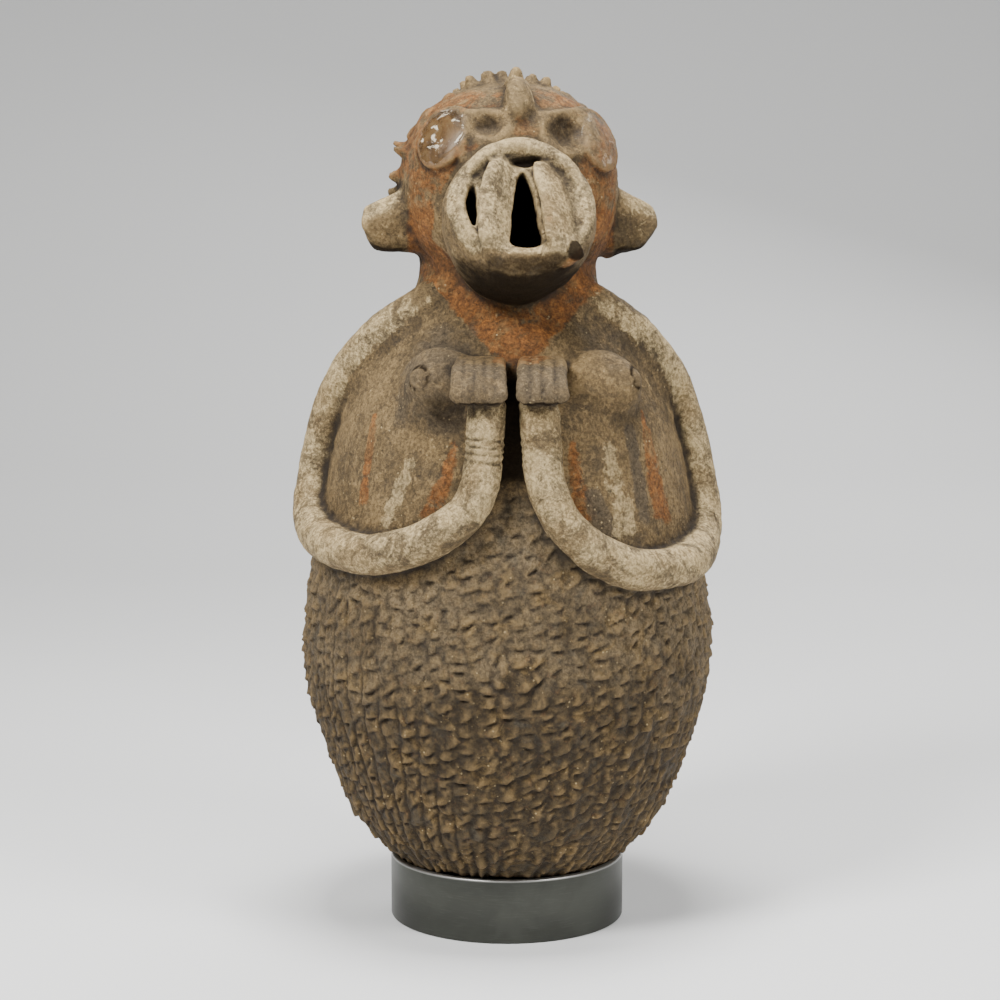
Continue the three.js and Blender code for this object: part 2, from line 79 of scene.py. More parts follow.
# Arms: turn, height, stand-off from the wall, share of the right forearm's drop
ARM_ROUTE = (
    (50, 300, -11, 0), (65, 289, 1, 0), (77, 275, 5.5, 0), (88, 251, 6, 0), (92, 216, 4, 0),
    (83, 192.5, 3, 0.8), (59, 184.5, 4, 1), (37, 185, 5.5, 1), (20, 195.5, 8, 0.8),
    (9.8, 213, 9.5, 0.1), (7.4, 253, 14, 0),
)
SHOULDER_ROUTE = ((44, 303, -9), (56, 290, -6.5), (66, 277, -5), (75, 258, -4.5), (80, 236, -6))
ARM_MIDDLE_TURN = 1.5
RIGHT_FOREARM_DROP = 7.8
SHOULDER_THICK, ELBOW_THICK, WRIST_THICK = 18, 19.8, 17
ELBOW_ALONG = 0.4
BRACELET_HEIGHTS = (237.5, 234.2, 231.4, 228.2)

# Hands: middle across, count and pitch of the fingers
HANDS = ((-12.3, 5, 4.8), (15.1, 4, 5.8))
BETWEEN_HANDS = 1.5
FOREARM_GAP_MIDDLE = 1.6
HAND_BOTTOM, HAND_FRONT, HAND_RISE, HAND_REACH = 250.5, 103, 17.5, 38
FINGER_THICK = 6.8

# Mounds of the chest: turn, height, half width, half rise, how far they stand out
CHEST_MOUNDS = (
    (-27, 257, 21, 19, 6), (-28, 256, 14.5, 15, 11.5), (39, 256, 20, 18, 7.5), (42, 256, 15, 15.5, 14),
)
MOUND_SINK = 3
NIPPLE_HEIGHT = 261
LEFT_NIPPLE_TURN, LEFT_NIPPLE_OUT, LEFT_NIPPLE_RADIUS = -30, 12.4, 3.6
RIGHT_NIPPLE_TURN, RIGHT_NIPPLE_OUT = 46, 13.4
# Dark line round each nipple: turn, distance from the axis, height, how far out it runs
NIPPLE_LINES = ((-30, 80, 262, 5), (46, 81, 261, 5.2))

# Head and what stands on it, as turn from the face and lift above level
HEAD_CENTRE = Vector((0, -2, 344))
HEAD_RADII = Vector((50, 50, 48))
HEAD_SQUARENESS = 2.25
HEAD_TURN = math.radians(7)
HEAD_WALL = 6.5
# Eye hollows: turn, lift, half width, half height, depth
EYE_HOLLOWS = ((-18.5, 32.5, 8, 5.5, 3.2), (27.5, 28.5, 10.5, 9, 3.6))
# Pads beside the eyes: turn, lift, how much of their glaze is left
PADS = ((-45, 25.5, 1), (50, 24, 0.3))
# Thin ridges over the pads and eyes: turn, lift, how far out
BROWS = (
    (
        (-61, 14, 0.4), (-64, 25, 1), (-58, 37, 1.5), (-45, 42, 1.7),
        (-33, 39.5, 1.5), (-22, 40.5, 1.2), (-9, 40, 0.6),
    ),
    (
        (11, 40, 0.6), (22, 39.5, 1.3), (36, 40.5, 1.7), (51, 41, 1.8),
        (65, 36, 1.6), (72, 24, 1), (70, 12, 0.2),
    ),
)
# Ridge between the left pad and eye, and the crest over the snout
EYE_RIDGE = ((-29, 37, 0.6), (-31.5, 30, 1.3), (-32, 22, 1.2), (-30, 13.5, 0.2))
CREST = ((1, 43, -5), (1.2, 45.5, -0.5), (1.4, 49, 2.4), (1.8, 53, 3.8), (2, 56.5, 3.2), (2, 59, -1))
CREST_WIDTH, CREST_TIP_WIDTH = 18.5, 9
# Rows of knobs: lift, and how far they reach round each way from the back
KNOB_ROWS = ((-16, 92), (-4, 92), (8, 92), (20, 95), (32, 98), (44, 104), (56, 112), (68, 96), (79, 80))
KNOB_PITCH = 13.5
# Single knobs on the crown: turn, lift, size
CROWN_KNOBS = ((-82, 70, 1.05), (-74, 79, 1.15), (-52, 86, 1.1), (75, 77, 0.9), (82, 70, 0.9))

# Ears: corners as across, back, height
EAR_CORNERS = (
    (26, 4, 356), (26, -14, 356), (26, -19, 343), (26, -16, 315), (26, 4, 315),
    (66, 1, 335.5), (67, -9, 335.5), (69.5, -14, 328), (61, -13, 315), (63, 1, 315),
)

# Snout and mouth plate, in their own frame: +Z up the plate, -Y out of it
MOUTH_CENTRE = Vector((-2, -70.4, 338))
MOUTH_TILT = math.radians(30)
PLATE_RADIUS, PLATE_THICK = 31.5, 6
SNOUT_RADIUS, SNOUT_LENGTH, SNOUT_WALL = 34.5, 54, 6.5
LIP_THICK = 7.5
# Slabs on the plate: their middle lines and widths
MOUTH_SLABS = (
    (((-13.4, 0.4, -29), (-12.8, -0.6, -13), (-11, -0.8, 4), (-6, 0, 22)), 22.5),
    (((17, 0, -31), (16.4, -1, -15), (15, -1, 2), (9, 0, 22)), 24.5),
)
SLAB_FLATNESS = 0.34
NUB_PLACE, NUB_LEAN, NUB_HALVES = (21.9, -3.2, -25), math.radians(-28), (4.4, 4.6, 6.6)
# Cuts in the plate, as across and up; the one under the lip is shallow
MOUTH_OPENING = (
    (-6.9, -20.7), (8.2, -20.7), (6.2, 0), (3.9, 13), (1.8, 16.6), (0.2, 16.2), (-1.7, 13), (-5, -3),
)
SIDE_SLOT = ((-22.2, -12.6), (-20.1, -5), (-19.9, 4), (-20.6, 10.6), (-22.9, 7.5), (-24.7, 2), (-24.4, -5))
LIP_HOLLOW = ((-2.5, 19.8), (3, 18.2), (8.8, 20), (9.6, 22.2), (3, 22.6), (-3.5, 21.8))
CUT_FROM, CUT_THROUGH, LIP_HOLLOW_DEPTH = -10, 11, 3

TURNED_SIDES = 128
UNMOVED = Matrix()

# Rounds of melting: to smear the joints, and to find the close and the broad unevenness
SMEAR_ROUNDS, CLOSE_ROUNDS, BROAD_ROUNDS = 60, 5, 70
CLOSE_DEPTH, BROAD_DEPTH = 0.22, 1.9

# Studio in metres: place, size and share of the key light's power
LIGHTS = (
    ("key", (-0.7, -0.85, 1.15), 0.42, 1),
    ("fill", (0.95, -0.8, 0.95), 0.5, 0.5),
    ("top", (0.0, -0.15, 1.35), 0.4, 0.7),
    ("back", (0.5, 1.1, 0.9), 0.8, 0.3),
)
LIT_POINT = Vector((0, 0, 0.2))
AIR_TONE, AIR_STRENGTH = (0.90, 0.92, 0.95, 1), 0.05
CAMERA_PLACE, CAMERA_TILT = (-0.00329, -1.2085, 0.36212), math.radians(82.3)
FLOOR_HALF, FLOOR_BEND, FLOOR_RISE = 3, 1.0, 3.52


class ClaySizes(bpy.types.PropertyGroup):
    scale_columns: IntProperty(
        name="Scale columns", description="Pressed scales counted once round the pot", default=64, min=20)
    scale_pitch: FloatProperty(
        name="Scale pitch", description="Height of one row of scales, in millimetres", default=7.3, min=4)
    scale_depth: FloatProperty(
        name="Scale depth", description="How far a scale stands out, in millimetres", default=2.15, min=0)
    clay_step: FloatProperty(
        name="Clay step", description="Grid that the clay forms are merged on, in millimetres",
        default=1.0, min=0.5)
    face_limit: IntProperty(
        name="Face limit", description="Triangles that the finished clay may have", default=176000, min=1000)


class VesselColours(bpy.types.PropertyGroup):
    clay: FloatVectorProperty(
        name="Clay", description="Weathered clay of the body", subtype="COLOR", size=3,
        default=(0.146, 0.097, 0.042))
    scales: FloatVectorProperty(
        name="Scales", description="Darker clay of the textured pot", subtype="COLOR", size=3,
        default=(0.089, 0.057, 0.021))
    ochre: FloatVectorProperty(
        name="Ochre", description="Orange earth pigment", subtype="COLOR", size=3,
        default=(0.205, 0.078, 0.017))
    slip: FloatVectorProperty(
        name="Slip", description="Pale crust on the arms, ears and mouth", subtype="COLOR", size=3,
        default=(0.352, 0.266, 0.138))
    # Near-black painted shade for the hollows, undersides, the gap between the forearms and the inside; also
    # the dark nub and the lines round the nipples
    shade_and_dark_marks: FloatVectorProperty(
        name="Painted_shade", description="Shadowed hollows and undersides", subtype="COLOR", size=3,
        default=(0.011, 0.007, 0.004))
    steel: FloatVectorProperty(
        name="Steel", description="Dark waxed steel of the stand ring", subtype="COLOR", size=3,
        default=(0.058, 0.060, 0.052))


class StudioSettings(bpy.types.PropertyGroup):
    floor: FloatVectorProperty(
        name="Floor", description="Plain floor and backdrop", subtype="COLOR", size=3,
        default=(0.80, 0.80, 0.79))
    key_power: FloatProperty(
        name="Key light", description="Soft light from the upper left, in watts", default=30, min=0)
    lens: FloatProperty(
        name="Lens", description="Focal length on a 36 mm sensor", default=93.6, min=10, unit="CAMERA")


# Curves and placing

def curve_through(stops, count):
    """Points on a smooth curve through the stops."""
    stops = [Vector(stop) for stop in stops]
    held = [2 * stops[0] - stops[1], *stops, 2 * stops[-1] - stops[-2]]
    points = []
    for i in range(count):
        along = i / (count - 1) * (len(stops) - 1)
        leg = min(int(along), len(stops) - 2)
        t = along - leg
        a, b, c, d = held[leg:leg + 4]
        bend = (2 * a - 5 * b + 4 * c - d) * t * t + (3 * b - a - 3 * c + d) * t ** 3
        points.append(0.5 * (2 * b + (c - a) * t + bend))
    return points


BODY_TRACK = np.array([point[:] for point in curve_through(BODY_OUTLINE, 400)])


def body_radius(height):
    return np.interp(height, BODY_TRACK[:, 1], BODY_TRACK[:, 0])


def around(turn, radius, height):
    """Point round the upright axis, its turn in degrees from the front toward +X."""
    angle = math.radians(turn)
    return Vector((radius * math.sin(angle), -radius * math.cos(angle), height))


def standing(point, outward):
    """Frame at a point with +Z outward and +Y as near to up as it can be."""
    out = outward.normalized()
    across = Vector((0, 0, 1)).cross(out).normalized()
    axes = Matrix((across, out.cross(across), out)).transposed().to_4x4()
    return Matrix.Translation(point) @ axes


def head_way(turn, lift):
    angle = math.radians(lift)
    return around(turn, math.cos(angle), math.sin(angle))


def head_point(way, radii=HEAD_RADII):
    reach = sum(abs(way[k] / radii[k]) ** HEAD_SQUARENESS for k in range(3))
    return HEAD_CENTRE + way * reach ** (-1 / HEAD_SQUARENESS)


def on_head(turn, lift):
    way = head_way(turn, lift)
    return standing(head_point(way), way)


HEAD_FRAME = Matrix.Rotation(HEAD_TURN, 4, "Z")
MOUTH_FRAME = HEAD_FRAME @ Matrix.Translation(MOUTH_CENTRE) @ Matrix.Rotation(-MOUTH_TILT, 4, "X")


# Clay forms, each one a closed skin

def formed(build, *details, place=None):
    """A form built in a mesh of its own, and put in place."""
    bm = bmesh.new()
    build(bm, *details)
    if place is not None:
        bmesh.ops.transform(bm, matrix=place, verts=bm.verts)
    mesh = bpy.data.meshes.new(build.__name__)
    bm.to_mesh(mesh)
    bm.free()
    return mesh


def gathered(name, forms):
    """Forms side by side in one object, still overlapping."""
    bm = bmesh.new()
    for mesh in forms:
        bm.from_mesh(mesh)
        bpy.data.meshes.remove(mesh)
    return mesh_object(name, bm)


def turned(bm, outline, matrix=UNMOVED, steps=TURNED_SIDES):
    """Closed form turned about Z from an outline of radius and height."""
    verts = [bm.verts.new((radius, 0, height)) for radius, height in outline]
    edges = [bm.edges.new(pair) for pair in zip(verts, verts[1:])]
    before = set(bm.verts) - set(verts)
    bmesh.ops.spin(bm, geom=verts + edges, axis=(0, 0, 1), cent=(0, 0, 0), steps=steps,
                   angle=2 * math.pi, use_merge=True)
    made = [vert for vert in bm.verts if vert not in before]
    bmesh.ops.remove_doubles(bm, verts=made, dist=1e-3)
    made = [vert for vert in bm.verts if vert not in before]
    bmesh.ops.transform(bm, matrix=matrix, verts=made)


def coil(bm, path, thickness, sides=20, flat=1.0):
    """Rolled coil of clay along a path; thickness gives its width at a share of the way."""
    last = len(path) - 1
    side = None
    frames = []
    for i, point in enumerate(path):
        way = (path[min(i + 1, last)] - path[max(i - 1, 0)]).normalized()
        side = way.orthogonal() if side is None else side - way * side.dot(way)
        side.normalize()
        half = thickness(i / last) / 2
        axes = Matrix((side, way.cross(side), way)).transposed().to_4x4()
        frames.append(Matrix.Translation(point) @ axes @ Matrix.Diagonal((half, half * flat, half, 1)))
    start = bmesh.ops.create_circle(bm, cap_ends=True, segments=sides, radius=1, matrix=frames[0])
    face = start["verts"][0].link_faces[0]
    for before, after in zip(frames, frames[1:]):
        grown = bmesh.ops.extrude_face_region(bm, geom=[face])["geom"]
        face = next(item for item in grown if isinstance(item, bmesh.types.BMFace))
        bmesh.ops.transform(bm, matrix=after @ before.inverted(), verts=face.verts)


def round_ends(thick, share=0.08):
    """Thickness that swells from a blunt end to its full size and back."""
    def thickness(along):
        near = min(along, 1 - along) / share
        return thick * (1 if near >= 1 else math.sqrt(max(1 - (1 - near) ** 2, 0.09)))
    return thickness


def lump(bm, matrix, across, up, out, detail=24):
    """Rounded lump with its half sizes along the axes of a frame."""
    size = Matrix.Diagonal((across, up, out, 1))
    bmesh.ops.create_uvsphere(
        bm, u_segments=detail, v_segments=detail // 2, radius=1, matrix=matrix @ size)


def peg(bm, matrix, foot, tip, height, sink, sides=14):
    """Pinched peg with a blunt tip."""
    turned(bm, [(0, -sink), (foot, -sink), (foot * 0.93, height * 0.2), (foot * 0.62, height * 0.55),
                (tip * 1.25, height * 0.88), (tip * 0.6, height), (0, height * 1.02)], matrix, sides)


def body(bm):
    turned(bm, [tuple(point[:2]) for point in curve_through(BODY_OUTLINE, 90)] + [(0, 328)])


def arm_path(side):
    stops = []
    for turn, height, stand_off, share in ARM_ROUTE:
        drop = RIGHT_FOREARM_DROP * share if side > 0 else 0
        radius = body_radius(height) + stand_off
        stops.append(around(side * turn + ARM_MIDDLE_TURN, radius, height - drop))
    return curve_through(stops, 90)


def arm_thickness(along):
    if along < ELBOW_ALONG:
        return SHOULDER_THICK + (ELBOW_THICK - SHOULDER_THICK) * along / ELBOW_ALONG
    return ELBOW_THICK + (WRIST_THICK - ELBOW_THICK) * (along - ELBOW_ALONG) / (1 - ELBOW_ALONG)


def rounded_block(bm, matrix, size, round_by):
    """Block with rounded edges, its full sizes along the frame's axes."""
    made = bmesh.ops.create_cube(bm, size=1, matrix=matrix @ Matrix.Diagonal((*size, 1)))
    edges = list({edge for vert in made["verts"] for edge in vert.link_edges})
    bmesh.ops.bevel(bm, geom=edges, offset=round_by, segments=3, profile=0.5, affect="EDGES", material=-1)


def hand(bm, middle, fingers, pitch):
    """Paw that slopes out from the chest and hangs over the wrist, its fingers side by side."""
    half = FINGER_THICK / 2
    knuckle = HAND_BOTTOM + HAND_RISE - half
    tip = HAND_FRONT - half
    for finger in range(fingers):
        place = finger - (fingers - 1) / 2
        x = middle + place * pitch
        lag = 0.3 * place * place
        stops = (
            (middle + place * pitch * 0.8, HAND_REACH - tip, knuckle + 5),
            (middle + place * pitch * 0.92, 20 - tip, knuckle + 2.5),
            (middle + place * pitch * 0.95, 8 - tip + lag, knuckle - 1.5),
            (x, 2.2 - tip + lag, knuckle - 6),
            (middle + place * pitch * 1.04, 0.8 - tip + lag, HAND_BOTTOM + 3.6),
        )
        coil(bm, curve_through(stops, 24), round_ends(FINGER_THICK - 0.25 * abs(place), 0.1), 14)
    half_width = (fingers - 0.6) * pitch / 2
    corners = [
        (middle + side * half_width * share, back - tip, height)
        for side in (-1, 1)
        for share, back, height in (
            (1, -1.4, HAND_BOTTOM + 2.5), (1, 0, knuckle - 5), (0.95, 7.5, knuckle + 1),
            (0.85, HAND_REACH, knuckle + 6), (0.9, HAND_REACH, HAND_BOTTOM + 7), (1, 14, HAND_BOTTOM + 2.5),
        )
    ]
    hulled(bm, corners, 1.6)


def hulled(bm, corners, round_by):
    """Block over its corner points, with rounded edges."""
    verts = [bm.verts.new(corner) for corner in corners]
    bmesh.ops.convex_hull(bm, input=verts)
    edges = list({edge for vert in verts for edge in vert.link_edges if edge.calc_face_angle(0) > 0.3})
    bmesh.ops.bevel(bm, geom=edges, offset=round_by, segments=3, profile=0.5, affect="EDGES", material=-1)


def breasts(bm):
    """Low mounds that the hands grow out of; the right one is drawn out to a point."""
    for turn, height, across, up, out in CHEST_MOUNDS:
        radius = float(body_radius(height)) - MOUND_SINK
        place = standing(around(turn, radius, height), around(turn, 1, 0.1))
        lump(bm, place, across, up, out + MOUND_SINK, 40)
    radius = float(body_radius(NIPPLE_HEIGHT))
    turn = LEFT_NIPPLE_TURN
    left = standing(around(turn, radius + LEFT_NIPPLE_OUT, NIPPLE_HEIGHT + 1), around(turn, 1, 0.25))
    rim = [left @ (Vector((math.cos(a), math.sin(a), 0)) * LEFT_NIPPLE_RADIUS)
           for a in np.linspace(0, 2 * math.pi, 25)]
    coil(bm, rim, lambda along: 2.6, 10)
    lump(bm, left, 1.6, 1.6, 2, 12)
    right = standing(around(RIGHT_NIPPLE_TURN, radius + RIGHT_NIPPLE_OUT, NIPPLE_HEIGHT), around(50, 1, 0.1))
    peg(bm, right, 4, 2, 3.4, 3)


def shoulder(bm, side):
    """Clay smeared between the top of the arm and the chest."""
    stops = [around(side * turn + ARM_MIDDLE_TURN, float(body_radius(height)) + stand_off, height)
             for turn, height, stand_off in SHOULDER_ROUTE]
    coil(bm, curve_through(stops, 24), lambda along: 21 - 7 * along, 16)


def head(bm):
    ball = bmesh.ops.create_uvsphere(bm, u_segments=96, v_segments=64, radius=1)
    for vert in ball["verts"]:
        vert.co = head_point(vert.co.normalized())


def knobs(bm, rng):
    """Pinched knobs over the crown and the back; those that edge the brow are only small."""
    pegs = [formed(peg, Matrix(), 3.8, 1.9, 5.4, 1.5), formed(peg, Matrix(), 3.4, 2.4, 1.2, 1.5)]
    for row, (lift, half) in enumerate(KNOB_ROWS):
        girth = math.radians(2 * half) * HEAD_RADII.x * math.cos(math.radians(lift))
        count = max(round(girth / KNOB_PITCH), 3)
        for place in range(count + 1):
            turn = 180 - half + (place + row % 2 / 2) * 2 * half / (count + 0.5)
            shift = rng.uniform(-2.6, 2.6, 2)
            size = rng.uniform(0.75, 1.2, 3)
            edging = abs((turn + 180) % 360 - 180) < 118 and (lift > 24 or turn < 180)
            knob = pegs[edging].copy()
            knob.transform(on_head(turn + shift[0], lift + shift[1]) @ Matrix.Diagonal((*size, 1)))
            bm.from_mesh(knob)
            bpy.data.meshes.remove(knob)
    for turn, lift, size in CROWN_KNOBS:
        knob = pegs[0].copy()
        knob.transform(on_head(turn, lift) @ Matrix.Scale(size, 4))
        bm.from_mesh(knob)
        bpy.data.meshes.remove(knob)
    for mesh in pegs:
        bpy.data.meshes.remove(mesh)


def ear(bm, side):
    hulled(bm, [(side * x, y, z) for x, y, z in EAR_CORNERS], 1.1)
    if side > 0:
        lump(bm, Matrix.Translation((47, -2, 313.5)), 4.4, 4, 3.2, 16)


def head_coil(bm, stops, thickness, sides=12, flat=1.0):
    """Coil laid on the head through stops of turn, lift and how far its middle stands out."""
    path = [on_head(turn, lift) @ Vector((0, 0, out)) for turn, lift, out in stops]
    coil(bm, curve_through(path, 8 * len(path)), thickness, sides, flat)


def face_forms(bm):
    """Pads, brows and crest that were pressed onto the head."""
    for turn, lift, _ in PADS:
        lump(bm, on_head(turn, lift), 14, 15, 2.6, 40)
    for stops in BROWS:
        head_coil(bm, stops, round_ends(3.6, 0.06))
    head_coil(bm, EYE_RIDGE, round_ends(4, 0.25))
    for turn, lift, across, up, _ in EYE_HOLLOWS:
        rim = [on_head(turn, lift) @ Vector(((across + 1.4) * math.cos(a), (up + 1.4) * math.sin(a), -1.2))
               for a in np.linspace(0, 2 * math.pi, 33)]
        coil(bm, rim, lambda along: 3.9, 10)
    narrowing = CREST_WIDTH - CREST_TIP_WIDTH
    head_coil(bm, CREST, lambda along: CREST_WIDTH - narrowing * along, 20, 0.85)
    peg(bm, on_head(2, 66.5), 5.2, 1.7, 10, 2.5)


def snout(bm):
    matrix = MOUTH_FRAME @ Matrix.Rotation(-math.pi / 2, 4, "X")
    outline = [
        (0, 0), (PLATE_RADIUS - 3, 0), (PLATE_RADIUS - 0.6, 0.6), (PLATE_RADIUS + 1.5, 3.2),
        (SNOUT_RADIUS, 14), (SNOUT_RADIUS - 2, 28), (SNOUT_RADIUS - 7, 42),
        (SNOUT_RADIUS - 13, SNOUT_LENGTH), (0, SNOUT_LENGTH),
    ]
    turned(bm, outline, matrix, 96)


def mouth_forms(bm):
    """Lip, slabs and nub on the plate, in the plate's own frame."""
    lip_radius = PLATE_RADIUS - LIP_THICK / 2 + 0.5
    lip = []
    for i in range(40):
        share = i / 39
        angle = math.radians(160 - 146 * share)
        depth = -0.9 + 3.6 * abs(2 * share - 1) ** 3
        lip.append(Vector((lip_radius * math.cos(angle), depth, lip_radius * math.sin(angle))))
    coil(bm, lip, lambda along: LIP_THICK + 0.6 - 3.4 * abs(2 * along - 1) ** 2, 16)
    for stops, width in MOUTH_SLABS:
        coil(bm, curve_through(stops, 20), round_ends(width, 0.3), 20, SLAB_FLATNESS)
    rounded_block(bm, Matrix.Translation((2, -0.6, -25.4)), (22, 5.4, 8.4), 2)
    lump(bm, Matrix.Translation(NUB_PLACE) @ Matrix.Rotation(NUB_LEAN, 4, "Y"), *NUB_HALVES, 20)
    left_rim = [Vector((-27.2 * math.cos(a), 0.4, 27.2 * math.sin(a))) for a in np.linspace(-0.75, 0.62, 14)]
    coil(bm, left_rim, round_ends(5.4, 0.2), 12)


def plate_cut(bm, outline, near, far):
    """Cutter through the plate with an outline given as across and up."""
    ring = [bm.verts.new((across, near, up)) for across, up in outline]
    face = bm.faces.new(ring)
    grown = bmesh.ops.extrude_face_region(bm, geom=[face])["geom"]
    moved = [item for item in grown if isinstance(item, bmesh.types.BMVert)]
    bmesh.ops.translate(bm, vec=(0, far - near, 0), verts=moved)
    bmesh.ops.transform(bm, matrix=MOUTH_FRAME, verts=bm.verts)


# Turning forms into one clay body

def mesh_object(name, bm):
    bmesh.ops.recalc_face_normals(bm, faces=bm.faces)
    mesh = bpy.data.meshes.new(name)
    bm.to_mesh(mesh)
    bm.free()
    made = bpy.data.objects.new(name, mesh)
    bpy.context.scene.collection.objects.link(made)
    return made


def apply_modifiers(piece):
    depsgraph = bpy.context.evaluated_depsgraph_get()
    mesh = bpy.data.meshes.new_from_object(piece.evaluated_get(depsgraph))
    piece.modifiers.clear()
    piece.data = mesh


def fuse(piece, step):
    """Merge overlapping skins into one on a fine grid."""
    grid = piece.modifiers.new("Fuse", "REMESH")
    grid.mode = "VOXEL"
    grid.voxel_size = step
    apply_modifiers(piece)


def soften(piece, rounds):
    smooth = piece.modifiers.new("Soften", "SMOOTH")
    smooth.factor = 0.5
    smooth.iterations = rounds
    apply_modifiers(piece)


def cut(piece, *cutters):
    for cutter in cutters:
        work = piece.modifiers.new("Cut", "BOOLEAN")
        work.operation = "DIFFERENCE"
        work.solver = "MANIFOLD"
        work.object = cutter
    apply_modifiers(piece)
    for cutter in cutters:
        bpy.data.objects.remove(cutter)


def thin_out(piece, limit):
    """Fewer faces where the clay is plain, as many as before where it is worked."""
    count = sum(len(face.vertices) - 2 for face in piece.data.polygons)
    if count > limit:
        thin = piece.modifiers.new("Thin", "DECIMATE")
        thin.ratio = limit / count
        apply_modifiers(piece)


def cutter_object(name, build, *details):
    bm = bmesh.new()
    build(bm, *details)
    return mesh_object(name, bm)


def body_hollow(bm):
    track = curve_through(BODY_OUTLINE, 30)
    outline = [(0, BOTTOM_HEIGHT + BODY_WALL)]
    for i in range(3, len(track)):
        before, point = track[i - 1], track[i]
        way = (point - before).normalized()
        outline.append((point.x - way.y * BODY_WALL, point.y + way.x * BODY_WALL))
    outline.append((0, outline[-1][1]))
    turned(bm, outline, steps=48)


def head_hollow(bm):
    radii = HEAD_RADII - Vector((HEAD_WALL,) * 3)
    ball = bmesh.ops.create_uvsphere(bm, u_segments=40, v_segments=24, radius=1)
    for vert in ball["verts"]:
        vert.co = head_point(vert.co.normalized(), radii)
    bmesh.ops.transform(bm, matrix=HEAD_FRAME, verts=bm.verts)


def snout_hollow(bm):
    matrix = MOUTH_FRAME @ Matrix.Rotation(-math.pi / 2, 4, "X")
    outline = [(0, PLATE_THICK), (PLATE_RADIUS - 5, PLATE_THICK), (SNOUT_RADIUS - SNOUT_WALL, 15),
               (SNOUT_RADIUS - SNOUT_WALL - 2, 28), (20, 44), (0, 48)]
    turned(bm, outline, matrix, 48)


def eye_hollow(bm, turn, lift, across, up, depth):
    middle = HEAD_FRAME @ on_head(turn, lift) @ Matrix.Translation((0, 0, depth * 0.45))
    lump(bm, middle, across, up, depth * 1.3, 32)


# Surface work

def smooth_step(low, high, value):
    share = np.clip((value - low) / (high - low), 0, 1)
    return share * share * (3 - 2 * share)


def span(value, start, full, fading, end):
    """One between full and fading, nothing below start or above end."""
    return smooth_step(start, full, value) * smooth_step(end, fading, value)


def turn_of(points):
    """Degrees round the upright axis, from the front toward +X."""
    return np.degrees(np.arctan2(points[:, 0], -points[:, 1]))


def coordinates(mesh, what="co"):
    data = np.empty(len(mesh.vertices) * 3, np.float32)
    if what == "co":
        mesh.vertices.foreach_get("co", data)
    else:
        mesh.vertex_normals.foreach_get("vector", data)
    return data.reshape(-1, 3).astype(float)


def roughness_field(points, size, octaves=3, seed=3):
    """Smooth random unevenness about zero, its largest features of a given size in millimetres."""
    lattice = np.random.default_rng(seed).uniform(-1, 1, (32, 32, 32))
    total = np.zeros(len(points))
    for octave in range(octaves):
        place = points * 2.1 ** octave / size + 7.3 * octave
        cell = np.floor(place).astype(int)
        share = place - cell
        share = share * share * (3 - 2 * share)
        for corner in np.ndindex(2, 2, 2):
            weight = np.prod(np.where(corner, share, 1 - share), axis=1)
            x, y, z = ((cell + corner) % 32).T
            total += 0.55 ** octave * weight * lattice[x, y, z]
    return total


def in_frame(points, matrix):
    """Points as seen from a frame."""
    inverse = np.array(matrix.inverted())
    return points @ inverse[:3, :3].T + inverse[:3, 3]


def wall_mask(points):
    """One on the body's own wall, nothing on what stands off it."""
    gap = np.abs(np.hypot(points[:, 0], points[:, 1]) - body_radius(points[:, 2]))
    return 1 - smooth_step(1.6, 3.4, gap)


def textured_mask(turn, height):
    off_peak = np.abs(turn - PEAK_TURN)
    top = SCALES_TOP + SCALES_PEAK * np.clip(1 - off_peak / PEAK_HALF_TURN, 0, 1) + 2.5 * np.sin(turn / 5)
    return (1 - smooth_step(top - 5, top + 2, height)) * smooth_step(22, 28, height)


def scale_relief(points, sizes):
    """Height of the pinched scales at each point, and how deep it lies in a slit or groove."""
    turn = turn_of(points)
    height = points[:, 2]
    columns, rows = sizes.scale_columns, 64
    across = turn / 360 * columns + 0.42 * np.sin(height / 27 + 0.8) + 0.2 * np.sin(turn / 13 + height / 19)
    across += 0.16 * roughness_field(points, 9, 2, 21)
    rise = height / sizes.scale_pitch + 0.16 * np.sin(turn / 7 + height / 9)
    rise += 0.16 * roughness_field(points, 8, 2, 22)
    rng = np.random.default_rng(11)
    offsets = np.cumsum(rng.uniform(-0.35, 0.55, columns))
    offsets -= np.linspace(0, offsets[-1] - round(offsets[-1]), columns)
    size, depth, half, shift_x, shift_y, lean = (
        rng.uniform(low, high, (columns, rows))
        for low, high in ((0.2, 1.15), (0.1, 1.35), (0.22, 0.42), (-0.2, 0.2), (-0.24, 0.24), (0.0, 0.8))
    )
    tallest, deepest = np.zeros(len(points)), np.zeros(len(points))
    for step in np.ndindex(3, 3):
        place = np.floor(across) + step[0] - 1
        column = place.astype(int) % columns
        level = np.floor(rise + offsets[column]) + step[1] - 1
        row = level.astype(int) % rows
        off = across - place - 0.5 - shift_x[column, row]
        up = rise + offsets[column] - level - 0.5 - shift_y[column, row]
        up -= lean[column, row] * off + 0.6 * off ** 2
        wide = np.exp(-(off / half[column, row]) ** 2)
        tab = size[column, row] * wide * np.exp(-np.where(up > 0, up / 0.6, (up / 0.1) ** 2))
        slit = depth[column, row] * np.clip(wide - 0.3, 0, 1) / 0.7 * np.exp(-((up + 0.1) / 0.09) ** 2)
        tallest = np.maximum(tallest, tab)
        deepest = np.maximum(deepest, slit)
    side = np.abs(across - np.round(across))
    grooved = 0.12 + 0.7 * smooth_step(-0.2, 0.8, -np.sin(turn / 23 + 0.6) - (height - 85) / 80)
    groove = grooved * np.exp(-(side / 0.085) ** 2)
    return tallest - 0.35 - 0.7 * deepest - 0.5 * groove, np.clip(1.15 * deepest + 0.25 * groove, 0, 1)


def edges_of(mesh):
    ends = np.empty(len(mesh.edges) * 2, np.int32)
    mesh.edges.foreach_get("vertices", ends)
    return ends.reshape(-1, 2)


